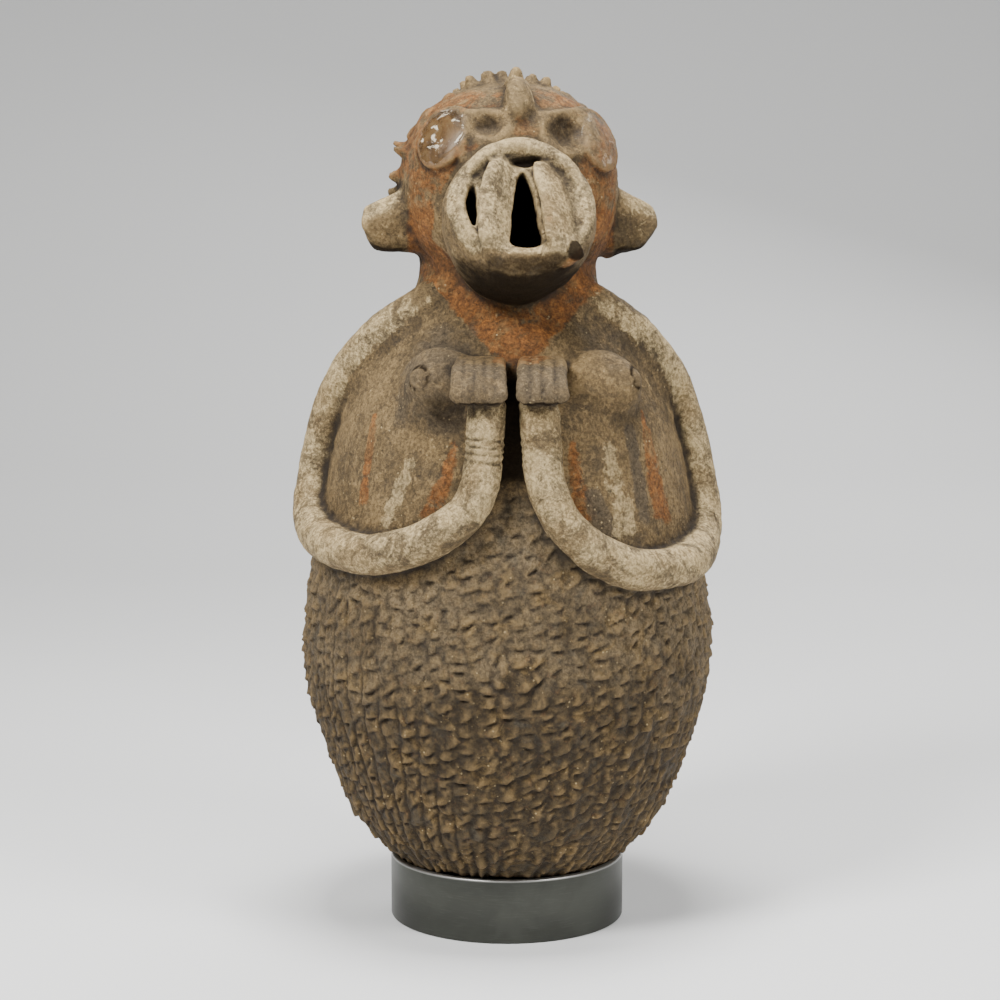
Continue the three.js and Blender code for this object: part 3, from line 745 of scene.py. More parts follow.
def melted(points, edges, rounds, weight=1.0):
    """Points drawn toward the middle of their neighbours, round after round."""
    count = len(points)
    near, far = edges.T
    share = np.bincount(edges.ravel(), minlength=count)[:, None]
    pull = np.broadcast_to(0.6 * np.asarray(weight, float), (count,))[:, None]
    points = points.copy()
    for _ in range(rounds):
        total = np.stack(
            [np.bincount(near, points[far, k], count) + np.bincount(far, points[near, k], count)
             for k in range(points.shape[1])], axis=1)
        points += pull * (total / share - points)
    return points


def eye_mask(points, spread):
    """Share of each point that lies in an eye hollow widened by a spread."""
    eyes = np.zeros(len(points))
    for turn, lift, half_across, half_up, _ in EYE_HOLLOWS:
        local = in_frame(points, HEAD_FRAME @ on_head(turn, lift))
        reach = np.hypot(local[:, 0] / half_across, (local[:, 1] - 1.5) / half_up) / spread
        eyes = np.maximum(eyes, smooth_step(1.15, 0.5, reach) * smooth_step(-12, -6, local[:, 2]))
    return eyes


def melt_mask(points):
    """Where the clay was smeared smooth: shoulders, chest, and the head's joint with the neck."""
    turn = turn_of(points)
    height = points[:, 2]
    shoulders = span(height, 232, 262, 306, 318) * smooth_step(36, 50, np.abs(turn))
    chest = 0.85 * span(height, 232, 244, 286, 296) * smooth_step(62, 54, np.abs(turn - 6))
    chest *= smooth_step(25, 31, np.abs(points[:, 0] - BETWEEN_HANDS))
    above_hands = span(height, 270, 276, 288, 296) * smooth_step(34, 26, np.abs(turn))
    neck = span(height, 300, 312, 318, 326)
    nipple = np.linalg.norm(points - np.array(around(-30, 82, NIPPLE_HEIGHT)), axis=1)
    point = np.linalg.norm(points - np.array(around(47, 86, NIPPLE_HEIGHT)), axis=1)
    kept = smooth_step(5, 9, nipple) * smooth_step(5, 9, point)
    return np.maximum.reduce([shoulders, chest * kept, above_hands, 0.8 * neck, 0.2 * eye_mask(points, 1.9)])


def work_surface(piece, sizes):
    """Smear the joints, press the scales, score the clay and roughen it. Gives the fine creases and broad
    hollows, for darker creases and painted shade.
    """
    mesh = piece.data
    edges = edges_of(mesh)
    points = coordinates(mesh)
    points = melted(points, edges, SMEAR_ROUNDS, melt_mask(points))
    mesh.vertices.foreach_set("co", points.astype(np.float32).ravel())
    mesh.update()
    normals = coordinates(mesh, "normal")
    turn = turn_of(points)
    textured = textured_mask(turn, points[:, 2]) * wall_mask(points)
    relief, _ = scale_relief(points, sizes)
    move = textured * relief * sizes.scale_depth
    move += 0.6 * roughness_field(points, 24, 2)
    move += (0.26 + 0.4 * textured) * roughness_field(points, 4.5, 3)
    move -= wrist_scores(points) + finger_grooves(points)
    points += normals * move[:, None]
    mesh.vertices.foreach_set("co", points.astype(np.float32).ravel())
    mesh.update()
    normals = coordinates(mesh, "normal")
    close = ((melted(points, edges, CLOSE_ROUNDS) - points) * normals).sum(axis=1)
    broad = ((melted(points, edges, BROAD_ROUNDS) - points) * normals).sum(axis=1)
    return points, melted(np.stack([close / CLOSE_DEPTH, broad / BROAD_DEPTH], axis=1), edges, 1)


def looked_up(known, values, points):
    """Values carried from known points to the nearest of the others."""
    tree = KDTree(len(known))
    for i, point in enumerate(known.tolist()):
        tree.insert(point, i)
    tree.balance()
    return values[[tree.find(point)[1] for point in points.tolist()]]


def wrist_scores(points):
    front = smooth_step(81, 86, -points[:, 1]) * smooth_step(24, 20, np.abs(points[:, 0] - 2))
    slope = points[:, 2] - 0.12 * np.abs(points[:, 0]) + 0.8 * roughness_field(points, 9, 2, 31)
    scores = sum(np.exp(-((slope - height + 2) / 0.7) ** 2) for height in BRACELET_HEIGHTS)
    return (0.8 - 0.5 * (points[:, 0] > 0)) * front * np.clip(scores, 0, 1)


def finger_grooves(points):
    """Lines between the fingers, over the back of each hand and down its front."""
    depth = np.zeros(len(points))
    wander = 0.13 * roughness_field(points, 8, 2, 41)
    spread = 1.04 - 0.09 * smooth_step(252, 264, points[:, 2])
    spread -= 0.15 * smooth_step(-88, -66, points[:, 1])
    for middle, fingers, pitch in HANDS:
        across = (points[:, 0] - middle) / spread / pitch + fingers / 2 + wander
        line = np.abs(across - np.round(across)) * pitch
        inside = (across > 0.5) & (across < fingers - 0.5)
        depth = np.maximum(depth, inside * np.exp(-(line / 0.6) ** 2))
    depth *= smooth_step(-74, -82, points[:, 1]) * smooth_step(248, 251, points[:, 2])
    depth *= 0.7 + 0.5 * roughness_field(points, 5, 2, 42)
    return 0.75 * depth * smooth_step(274, 266, points[:, 2])


def stroke(turn, height, stops):
    """Brush stroke down the wall; each stop is height, turn and half width in degrees."""
    heights, turns, halves = (np.array(values, float) for values in zip(*sorted(stops)))
    off = np.abs(turn - np.interp(height, heights, turns)) / np.interp(height, heights, halves)
    low, high = heights[0], heights[-1]
    return smooth_step(1.45, 0.5, off) * span(height, low - 6, low + 2, high - 3, high + 4)


# Brush strokes down the wall, each given by its stops
OCHRE_STROKES = (
    ((247, -52.2, 1.2), (228, -50.5, 2), (205, -49, 2.6)),
    ((236, -16.4, 1.4), (218, -19.4, 3.2), (202, -23.4, 4.2)),
    ((236, 21, 1.6), (217, 22, 3.2), (200, 23.4, 4)),
    ((246, 53, 1), (223, 52.4, 3.6), (196, 53.2, 6)),
    ((244, 121, 2), (196, 124, 5)), ((242, 158, 2), (194, 155, 4.5)),
    ((244, -118, 2), (196, -122, 5)), ((242, -160, 2), (194, -157, 4.5)),
)
CHALK_STROKES = (
    ((226, -32, 2.5), (196, -38, 4.5)), ((233, 34, 2.5), (210, 35.6, 4.6), (192, 37, 5.4)),
    ((232, 139, 3), (194, 140, 5)), ((232, -139, 3), (194, -141, 5)),
)
DUSK_STROKES = (((214, 26, 3), (192, 30, 4.5)), ((240, 44, 3), (196, 45, 3)))
# Lower edge of the ochre round the neck: turn and height
COLLAR = (
    (-180, 296), (-75, 304), (-50, 300), (-20, 282), (-4, 269), (3, 264), (12, 270), (28, 281),
    (62, 298), (80, 304), (180, 296),
)


def coil_mask(points, path, thickness):
    nearest = np.full(len(points), 1e9)
    for i in range(0, len(path), 2):
        gap = np.linalg.norm(points - np.array(path[i]), axis=1) - thickness(i / (len(path) - 1)) / 2
        nearest = np.minimum(nearest, gap)
    return 1 - smooth_step(0.8, 2.2, nearest)


def pad_mask(points, turn, lift, glaze):
    local = in_frame(points, HEAD_FRAME @ on_head(turn, lift))
    reach = np.hypot(local[:, 0] / 13.2, local[:, 1] / 14.2)
    return glaze * smooth_step(1.0, 0.9, reach) * smooth_step(-6, -2, local[:, 2])


def snout_masks(points):
    """Mouth plate, the snout behind it, the nub, the painted shade in the gap under the lip, the slip over
    the plate and the painted shade over its lower edge.
    """
    local = in_frame(points, MOUTH_FRAME)
    across, depth, up = local.T
    from_middle = np.hypot(across, up)
    plate = smooth_step(34.5, 32.5, from_middle) * span(depth, -12, -8, 2.5, 6)
    side = smooth_step(38, 36, from_middle) * span(depth, 1.5, 5, 36, 50)
    nub = smooth_step(6.2, 4.2, np.linalg.norm(local - np.array((22.2, -4, -24.5)), axis=1))
    # Painted shade in the gap under the lip
    lip_gap = smooth_step(6.5, 3, np.linalg.norm((local - np.array((3, 0, 21))) * (0.55, 0.6, 1.7), axis=1))
    pale = plate * smooth_step(-27.5, -24, up + 0.1 * across)
    # Painted shade over the plate's lower edge
    shaded = plate * smooth_step(-23, -28, up)
    return plate, side, nub, lip_gap, pale, shaded


def ear_mask(points):
    across, back, _ = in_frame(points, HEAD_FRAME @ Matrix.Translation(HEAD_CENTRE)).T
    outward = smooth_step(45, 51, np.abs(across)) * smooth_step(12, 6, back)
    return outward * span(points[:, 2], 308, 313, 346, 350)


def crest_mask(points):
    across, up, out = in_frame(points, HEAD_FRAME @ on_head(1.6, 50)).T
    crest = smooth_step(9, 6, np.abs(across) + 0.12 * up) * span(up, -15, -8, 24, 30)
    return crest * smooth_step(-2.5, 0.5, out)


def head_masks(points, normals):
    """On the head: where no ochre lies, where slip lies with painted light on the ears' tops, and where the
    painted shade and the dark nub lie.
    """
    facing_up, facing_down = normals[:, 2], -normals[:, 2]
    plate, snout_side, nub, lip_gap, pale_plate, shaded_plate = snout_masks(points)
    ears = ear_mask(points)
    crest = crest_mask(points)
    # Painted shadow of the ears on the neck's sides
    neck_side = span(points[:, 2], 306, 312, 318, 326) * smooth_step(26, 36, np.abs(points[:, 0]))
    neck_side *= smooth_step(20, 10, points[:, 1])
    # Slip on the ears, paler on their upward faces as painted light on the lit tops
    ear_slip_and_top_light = ears * (0.3 + 0.62 * smooth_step(0.25, 0.7, facing_up))
    bare = np.maximum.reduce([plate, ears, crest, 0.9 * snout_side, 0.6 * eye_mask(points, 2)])
    slip = np.maximum.reduce([0.76 * pale_plate, ear_slip_and_top_light, 0.3 * crest, 0.2 * snout_side])
    # Painted shade in the eye hollows, under the snout and the ears, in the gap under the lip, over the
    # plate's lower edge and at the neck's sides; the nub is dark clay
    dark = np.maximum.reduce([
        0.52 * eye_mask(points, 1) * smooth_step(1, 0.35, facing_up),
        0.95 * snout_side * smooth_step(0.08, 0.95, facing_down),
        0.85 * ears * smooth_step(0.2, 0.8, facing_down),
        0.8 * nub,
        0.9 * lip_gap,
        0.6 * shaded_plate,
        0.5 * neck_side,
    ])
    return bare, slip, dark


def nipple_ring(points, turn, radius, height, reach):
    """Dark line drawn round a nipple."""
    local = in_frame(points, standing(around(turn, radius, height), around(turn, 1, 0.1)))
    line = (np.hypot(local[:, 0], local[:, 1]) - reach) / 1.1
    return np.exp(-line ** 2) * smooth_step(-12, -6, local[:, 2])


def hand_mask(points):
    hands = smooth_step(-80, -85, points[:, 1]) * span(points[:, 2], 246, 250, 276, 284)
    return hands * smooth_step(36, 31, np.abs(points[:, 0] - 2))


class Places:
    """Which part of the vessel each point belongs to, as shares from nothing to one."""

    def __init__(self, points, normals):
        self.points = points
        self.height = points[:, 2]
        self.turn = turn_of(points)
        self.facing_down = -normals[:, 2]
        self.wall = wall_mask(points)
        self.hands = hand_mask(points)
        self.off_hands = 1 - self.hands
        self.arms = self.arm_mask()
        self.off_arms = 1 - self.arms
        self.crown = smooth_step(385, 390, self.height)
        self.head = smooth_step(316, 326, self.height) * (1 - 0.6 * self.crown)
        self.bare, self.head_slip, self.head_shade_and_nub = head_masks(points, normals)
        self.gloss = np.maximum(*(pad_mask(points, *pad) for pad in PADS))

    def arm_mask(self):
        """Arms, weaker where they run into the shoulder, and weaker underneath as painted shade."""
        arms = np.maximum(*(coil_mask(self.points, arm_path(side), arm_thickness) for side in (-1, 1)))
        arms *= 0.35 * smooth_step(306, 268, self.height) + 0.65 * smooth_step(304, 290, self.height)
        # Weaker on the undersides: painted shade on the arms
        return arms * (1 - 0.4 * smooth_step(0.1, 0.9, self.facing_down))

    def strokes(self, strokes):
        return np.max([stroke(self.turn, self.height, stops) for stops in strokes], axis=0) * self.wall

    def ochre(self):
        above_edge = smooth_step(-4, 5, self.height - np.interp(self.turn, *zip(*COLLAR)))
        collar = above_edge * smooth_step(345, 330, self.height)
        ochre = np.maximum(0.9 * collar, 0.57 * self.head) * (1 - self.bare) * (1 - 0.85 * self.hands)
        return np.maximum(ochre, 0.72 * self.strokes(OCHRE_STROKES)) * (1 - 0.8 * self.arms)

    def slip(self):
        return np.maximum.reduce([
            0.72 * self.arms, self.head_slip, 0.12 * self.hands, 0.18 * self.crown, 0.1 * self.head,
        ])

    def chalk(self):
        return self.strokes(CHALK_STROKES) * self.off_arms

    def dusk(self):
        """Grey-brown strokes, and the same stain over the chest and the hands."""
        right_chest = span(self.turn, 24, 38, 66, 78) * span(self.height, 240, 272, 294, 304)
        left_chest = span(self.turn, -58, -36, -16, -8) * span(self.height, 226, 244, 280, 292)
        stained = np.maximum.reduce([self.strokes(DUSK_STROKES), 0.6 * right_chest, 0.74 * left_chest])
        return np.maximum(stained * self.off_arms, 0.75 * self.hands)

    def shade_and_dark_marks(self):
        """Painted shade in hollows, under the snout, ears and hands, beside the left hand, between the
        forearms and over the inside; with the dark nub and the lines round the nipples.
        """
        off_limbs = self.off_arms * self.off_hands
        # Painted shadow beside the left hand, under the left breast
        beside_hand = smooth_step(15, 3, np.abs(self.turn + 20)) * span(self.height, 222, 246, 250, 262)
        across, back = self.points[:, 0] - FOREARM_GAP_MIDDLE, self.points[:, 1]
        # Painted shade on the wall in the gap between the forearms
        gap = smooth_step(14, 8, np.abs(across)) * span(self.height, 206, 226, 256, 266)
        gap *= smooth_step(0, -20, back)
        # Painted shadow under the hands
        under_hands = smooth_step(0.3, 0.8, self.facing_down) * span(self.height, 244, 248, 254, 258)
        under_hands *= smooth_step(-76, -84, self.points[:, 1])
        # Painted shade over the inside of the vessel
        from_wall = np.hypot(self.points[:, 0], self.points[:, 1]) - body_radius(self.height)
        inside = smooth_step(-4, -6.5, from_wall) * smooth_step(316, 308, self.height)
        rings = np.max([nipple_ring(self.points, *place) for place in NIPPLE_LINES], axis=0)
        return np.maximum.reduce([
            self.head_shade_and_nub, 0.7 * under_hands, inside, 0.5 * beside_hand * off_limbs,
            gap * off_limbs, 0.85 * rings,
        ])


def paint_surface(piece, sizes, creases_and_hollows):
    """Where each pigment, the marks, the painted shade and the creases lie, kept on the mesh for its
    material.
    """
    mesh = piece.data
    points = coordinates(mesh)
    places = Places(points, coordinates(mesh, "normal"))
    textured = textured_mask(places.turn, places.height) * places.wall
    # Depth in the slits and grooves, used for painted shadow there
    _, slit = scale_relief(points, sizes)
    crease, broad = looked_up(*creases_and_hollows, points).T
    crease = crease * (1 - 0.55 * places.hands)
    layers = {
        "pigments_and_shade": (places.ochre(), places.slip(), places.shade_and_dark_marks(), places.gloss),
        "marks": (textured * slit, places.chalk(), places.dusk(), textured),
        "wear_and_shade": np.clip((crease, -crease, broad, -broad), 0, 1),
    }
    for name, channels in layers.items():
        colours = np.stack(channels, axis=1).astype(np.float32)
        attribute = mesh.attributes.new(name, "FLOAT_COLOR", "POINT")
        attribute.data.foreach_set("color", colours.ravel())


def settle(piece):
    """Bring a piece from millimetres about the ring's axis to its place in metres."""
    piece.data.transform(Matrix.Scale(MM, 4) @ Matrix.Translation((0, AXIS_BACK, 0)))
    piece.data.update()


def finish_with(piece, material):
    mesh = piece.data
    mesh.materials.clear()
    mesh.materials.append(material)
    mesh.polygons.foreach_set("material_index", [0] * len(mesh.polygons))


def shade_smooth(piece, sharp=None):
    mesh = piece.data
    mesh.polygons.foreach_set("use_smooth", [True] * len(mesh.polygons))
    if sharp is not None:
        mesh.set_sharp_from_angle(angle=math.radians(sharp))


# Finishes

UPPER_POT_CLAY = (0.162, 0.118, 0.064)
RUSTY_CLAY = (0.150, 0.072, 0.026)
SOOTY_CLAY = (0.046, 0.042, 0.030)
DUSK_TONES = ((0.046, 0.034, 0.020), (0.106, 0.078, 0.046))
GRAIN_TONES = ((0.56, 0.54, 0.5), (1.42, 1.42, 1.4))
GLAZE_TONES = ((0.034, 0.019, 0.009), (0.100, 0.062, 0.028))
FLAKE_TONE = (0.560, 0.500, 0.390)
PIT_TONE = (0.034, 0.023, 0.012)
# Near-black for the fine creases and for the painted shadow in the slits
CREASE_AND_SLIT_SHADE_TONE = (0.014, 0.009, 0.005)
RIM_HIGHLIGHT_STEEL = (0.55, 0.54, 0.51)


class Finish:
    """One node material, with short ways to add and join its nodes."""

    def __init__(self, name):
        self.material = bpy.data.materials.new(name)
        self.material.use_nodes = True
        self.tree = self.material.node_tree
        self.shader = self.tree.nodes["Principled BSDF"]
        self.place = self.add("ShaderNodeTexCoord").outputs["Object"]

    def add(self, kind, **values):
        node = self.tree.nodes.new(kind)
        for name, value in values.items():
            setattr(node, name, value)
        return node

    def join(self, value, socket):
        if isinstance(value, bpy.types.NodeSocket):
            self.tree.links.new(value, socket)
        elif isinstance(value, (tuple, list)) and len(value) == 3 and socket.type == "RGBA":
            socket.default_value = (*value, 1)
        else:
            socket.default_value = value

    def noise(self, size, detail=4.0, rough=0.6, warp=0.0, place=None):
        node = self.add("ShaderNodeTexNoise")
        self.join(place or self.place, node.inputs["Vector"])
        node.inputs["Scale"].default_value = 1 / (size * MM)
        node.inputs["Detail"].default_value = detail
        node.inputs["Roughness"].default_value = rough
        node.inputs["Distortion"].default_value = warp
        return node.outputs["Fac"]

    def spots(self, size, feature="F1"):
        node = self.add("ShaderNodeTexVoronoi", feature=feature)
        self.join(self.place, node.inputs["Vector"])
        node.inputs["Scale"].default_value = 1 / (size * MM)
        return node.outputs["Distance"]

    def stretched(self, x, y, z):
        node = self.add("ShaderNodeMapping")
        self.join(self.place, node.inputs["Vector"])
        node.inputs["Scale"].default_value = (x, y, z)
        return node.outputs["Vector"]

    def times(self, first, second):
        return self.math("MULTIPLY", first, second)

    def math(self, operation, first, second=0.0, clamp=False):
        node = self.add("ShaderNodeMath", operation=operation, use_clamp=clamp)
        self.join(first, node.inputs[0])
        self.join(second, node.inputs[1])
        return node.outputs[0]

    def between(self, value, low, high, to_low=0.0, to_high=1.0):
        node = self.add("ShaderNodeMapRange", interpolation_type="SMOOTHSTEP")
        for place, part in enumerate((value, low, high, to_low, to_high)):
            self.join(part, node.inputs[place])
        return node.outputs["Result"]

    def mix(self, share, first, second, blend="MIX"):
        node = self.add("ShaderNodeMix", data_type="RGBA", blend_type=blend)
        self.join(share, node.inputs[0])
        self.join(first, node.inputs[6])
        self.join(second, node.inputs[7])
        return node.outputs[2]

    def layers(self, name):
        node = self.add("ShaderNodeAttribute", attribute_name=name)
        parts = self.add("ShaderNodeSeparateColor")
        self.join(node.outputs["Color"], parts.inputs[0])
        return (*parts.outputs[:3], node.outputs["Alpha"])

    def bump(self, height, distance, strength=1.0, below=None):
        node = self.add("ShaderNodeBump")
        node.inputs["Strength"].default_value = strength
        node.inputs["Distance"].default_value = distance * MM
        self.join(height, node.inputs["Height"])
        if below is not None:
            self.join(below, node.inputs["Normal"])
        return node.outputs["Normal"]

    def finish(self, colour, rough, normal=None, **fixed):
        self.join(colour, self.shader.inputs["Base Color"])
        self.join(rough, self.shader.inputs["Roughness"])
        if normal is not None:
            self.join(normal, self.shader.inputs["Normal"])
        for name, value in fixed.items():
            self.shader.inputs[name.replace("_", " ")].default_value = value
        return self.material


def shade(colour, factor):
    return tuple(channel * factor for channel in colour)


class ClayFinish(Finish):
    """Weathered earthenware with ochre, pale slip and chalk worn off it in patches, and painted shade in its
    hollows, undersides and gaps.
    """

    def __init__(self, colours):
        super().__init__("fired_clay")
        self.clay = tuple(colours.clay)
        self.scales = tuple(colours.scales)
        self.earth = tuple(colours.ochre)
        self.pale = tuple(colours.slip)
        self.black = tuple(colours.shade_and_dark_marks)
        self.ochre, self.slip, self.shade_and_dark_marks, self.gloss = self.layers("pigments_and_shade")
        self.slit, self.chalk, self.dusk, self.textured = self.layers("marks")
        self.crease, self.ridge, self.hollow, _ = self.layers("wear_and_shade")
        self.clouds = self.noise(34, 5, 0.6, 0.3)
        self.patches = self.noise(13, 7, 0.72, 0.6)
        self.mottle = self.noise(4.2, 6, 0.75, 0.3)
        self.grain = self.noise(1.5, 5, 0.8, 0.2)
        self.streaks = self.noise(7, 5, 0.7, 0.4, self.stretched(1.4, 1.4, 0.5))
        self.pits = self.times(
            self.between(self.noise(2.2, 4, 0.75), 0.4, 0.3), self.between(self.mottle, 0.36, 0.56, 0.3, 1))

    def uneven(self, mask, field, spread):
        """A mask broken up by a noise field."""
        return self.math("ADD", mask, self.times(self.math("SUBTRACT", field, 0.5), spread))

    def body_clay(self):
        light, dark = shade(self.clay, 1.2), shade(self.clay, 0.62)
        colour = self.mix(self.between(self.clouds, 0.38, 0.62), dark, light)
        colour = self.mix(self.between(self.streaks, 0.5, 0.66, 0, 0.5), colour, shade(self.clay, 1.9))
        colour = self.mix(self.between(self.patches, 0.47, 0.34, 0, 0.75), colour, shade(self.clay, 0.4))
        colour = self.mix(self.between(self.mottle, 0.53, 0.64, 0, 0.55), colour, shade(self.clay, 1.8))
        return self.mix(self.between(self.mottle, 0.45, 0.34, 0, 0.5), colour, shade(self.clay, 0.5))

    def pot_clay(self):
        """Clay of the scales: lighter toward the top and the sides, rusty and sooty in spots."""
        position = self.add("ShaderNodeSeparateXYZ")
        self.join(self.place, position.inputs[0])
        # Darker toward the bottom, lighter toward the top and the sides
        reach = self.uneven(position.outputs["Z"], self.clouds, 0.14)
        reach = self.math("ADD", reach, self.times(self.math("ABSOLUTE", position.outputs["X"]), 0.4))
        colour = self.mix(self.between(reach, 0.12, 0.205), shade(self.scales, 0.42), UPPER_POT_CLAY)
        colour = self.mix(self.between(self.patches, 0.52, 0.66, 0, 0.6), colour, shade(self.scales, 1.7))
        colour = self.mix(self.between(self.mottle, 0.55, 0.7, 0, 0.5), colour, RUSTY_CLAY)
        return self.mix(self.between(self.patches, 0.46, 0.3, 0, 0.6), colour, SOOTY_CLAY)

    def with_ochre(self, colour):
        rust = self.mix(self.between(self.mottle, 0.4, 0.64), shade(self.earth, 0.6), shade(self.earth, 1.2))
        rust = self.mix(self.between(self.patches, 0.5, 0.68, 0, 0.75), rust, shade(self.clay, 1.1))
        return self.mix(self.between(self.uneven(self.ochre, self.patches, 2.2), 0.36, 0.66), colour, rust)

    def with_dusk(self, colour):
        """Grey-brown stain of the hands, the chest and some of the strokes."""
        stain = self.mix(self.mottle, *DUSK_TONES)
        stained = self.between(self.uneven(self.dusk, self.patches, 2.4), 0.4, 0.85, 0, 0.9)
        return self.mix(stained, colour, stain)

    def with_slip(self, colour):
        crust = self.mix(self.between(self.patches, 0.4, 0.58), shade(self.pale, 0.5), shade(self.pale, 1.25))
        crust = self.mix(self.between(self.mottle, 0.52, 0.64, 0, 0.85), crust, shade(self.clay, 0.85))
        crust = self.mix(self.between(self.clouds, 0.48, 0.62, 0, 0.7), crust, shade(self.clay, 1.35))
        crust = self.mix(self.between(self.patches, 0.47, 0.36, 0, 0.5), crust, shade(self.clay, 0.6))
        crust = self.mix(self.between(self.grain, 0.5, 0.64, 0, 0.45), crust, shade(self.pale, 1.45))
        # Less slip in the broad hollows: painted shade
        worn = self.math("SUBTRACT", self.uneven(self.slip, self.mottle, 1.7), self.times(self.hollow, 0.4))
        left = self.between(self.uneven(worn, self.patches, 1.7), 0.36, 0.66, 0, 0.94)
        return self.mix(left, colour, crust)

    def with_chalk(self, colour):
        chalked = self.uneven(self.uneven(self.chalk, self.mottle, 2.6), self.streaks, 2.2)
        return self.mix(self.between(chalked, 0.55, 1.0, 0, 0.7), colour, shade(self.pale, 1.1))

    def speckled(self, colour):
        """Fine grain, pale flecks of grit and dark pits."""
        tones = self.mix(self.between(self.grain, 0.42, 0.58), *GRAIN_TONES)
        colour = self.mix(0.85, colour, tones, "MULTIPLY")
        flecks = self.times(self.between(self.spots(3.1), 0.2, 0.1), self.between(self.patches, 0.5, 0.6))
        colour = self.mix(self.times(flecks, 0.75), colour, shade(self.pale, 1.3))
        return self.mix(self.times(self.pits, 0.8), colour, PIT_TONE)

    def worn(self, colour):
        """Rubbed ridges, painted shade in the broad hollows, darker fine creases and painted shadow in the
        slits under the scales; all but the slits weaker on the scales.
        """
        plain = self.math("SUBTRACT", 1.0, self.times(self.textured, 0.22))
        rubbed = self.times(self.ridge, self.between(self.patches, 0.38, 0.6, 0.15, 0.6))
        rubbed = self.math("MULTIPLY", rubbed, self.math("SUBTRACT", plain, self.times(self.dusk, 0.7)), True)
        rubbed_clay = self.mix(self.slip, shade(self.clay, 2.1), shade(self.pale, 1.3))
        colour = self.mix(rubbed, colour, rubbed_clay)
        # Painted shade in the broad hollows
        colour = self.mix(self.times(self.times(self.hollow, 0.85), plain), colour, shade(self.clay, 0.18))
        # Darker fine creases, and painted shadow in the slits and grooves of the scales
        creases_and_slit_shadow = self.math("MAXIMUM", self.times(self.crease, plain), self.slit)
        return self.mix(self.times(creases_and_slit_shadow, 0.85), colour, CREASE_AND_SLIT_SHADE_TONE)

    def with_glaze(self, colour):
        """Dark gloss left on the pads, with pale flakes where it has lifted."""
        shine = self.mix(self.between(self.patches, 0.42, 0.6), *GLAZE_TONES)
        shine = self.mix(self.between(self.noise(7, 6, 0.75, 0.8), 0.58, 0.62), shine, FLAKE_TONE)
        return self.mix(self.times(self.gloss, 0.9), colour, shine)

    def roughness(self):
        dry = self.between(self.patches, 0.3, 0.7, 0.68, 0.95)
        wet = self.between(self.mottle, 0.4, 0.65, 0.07, 0.18)
        node = self.add("ShaderNodeMix", data_type="FLOAT")
        self.join(self.gloss, node.inputs[0])
        self.join(dry, node.inputs[2])
        self.join(wet, node.inputs[3])
        return node.outputs[0]

    def relief(self):
        """Uneven, gritty clay, nearly smooth under the glaze."""
        bare = self.math("SUBTRACT", 1.0, self.times(self.gloss, 0.72))
        grit = self.math("SUBTRACT", self.grain, self.pits)
        normal = self.bump(self.times(self.patches, bare), 1.6, 0.7)
        normal = self.bump(self.times(self.mottle, bare), 1.3, 0.8, normal)
        return self.bump(self.times(grit, bare), 0.7, 0.9, normal)

    def whole(self):
        colour = self.mix(self.textured, self.body_clay(), self.pot_clay())
        for coat in (self.with_ochre, self.with_dusk, self.with_slip, self.with_chalk):
            colour = coat(colour)
        colour = self.worn(self.speckled(colour))
        # Near-black painted shade, with the dark nub and nipple lines, and less specular where it lies
        shade_and_mark_share = self.between(self.uneven(self.shade_and_dark_marks, self.patches, 0.7), 0.2, 0.8, 0, 0.95)
        colour = self.with_glaze(self.mix(shade_and_mark_share, colour, self.black))
        self.join(self.between(shade_and_mark_share, 0, 1, 0.34, 0.08), self.shader.inputs["Specular IOR Level"])
        return self.finish(colour, self.roughness(), self.relief())


def waxed_steel(colours):
    """Dark rolled steel, waxed, with fine scratches and a painted highlight along the top rim."""
    steel = tuple(colours.steel)
    make = Finish("stand_steel")
    cloud = make.noise(30, 5, 0.6, 0.4)
    drawn = make.noise(5, 4, 0.7, 0.0, make.stretched(0.6, 0.6, 8))
    scratch = make.noise(2.4, 3, 0.8, 0.0, make.stretched(6, 6, 0.5))
    colour = make.mix(make.between(cloud, 0.35, 0.65), shade(steel, 0.88), shade(steel, 1.12))
    colour = make.mix(make.between(drawn, 0.5, 0.8, 0, 0.35), colour, shade(steel, 1.9))
    position = make.add("ShaderNodeSeparateXYZ")
    make.join(make.place, position.inputs[0])
    # Painted highlight along the top rim
    rim = make.between(position.outputs["Z"], (RING_HEIGHT - 1.3) * MM, (RING_HEIGHT - 0.3) * MM)
    colour = make.mix(make.math("MULTIPLY", rim, 0.8), colour, RIM_HIGHLIGHT_STEEL)
    rough = make.between(cloud, 0.3, 0.7, 0.36, 0.42)
    normal = make.bump(drawn, 0.05, 0.35)
    normal = make.bump(scratch, 0.03, 0.25, normal)
    return make.finish(colour, rough, normal, Metallic=0.85, Specular_IOR_Level=0.5)


def studio_floor(settings):
    make = Finish("studio_floor")
    tone = tuple(settings.floor)
    colour = make.mix(make.noise(400, 2, 0.5), shade(tone, 0.985), shade(tone, 1.015))
    return make.finish(colour, 0.7, Specular_IOR_Level=0.2)


# Pieces

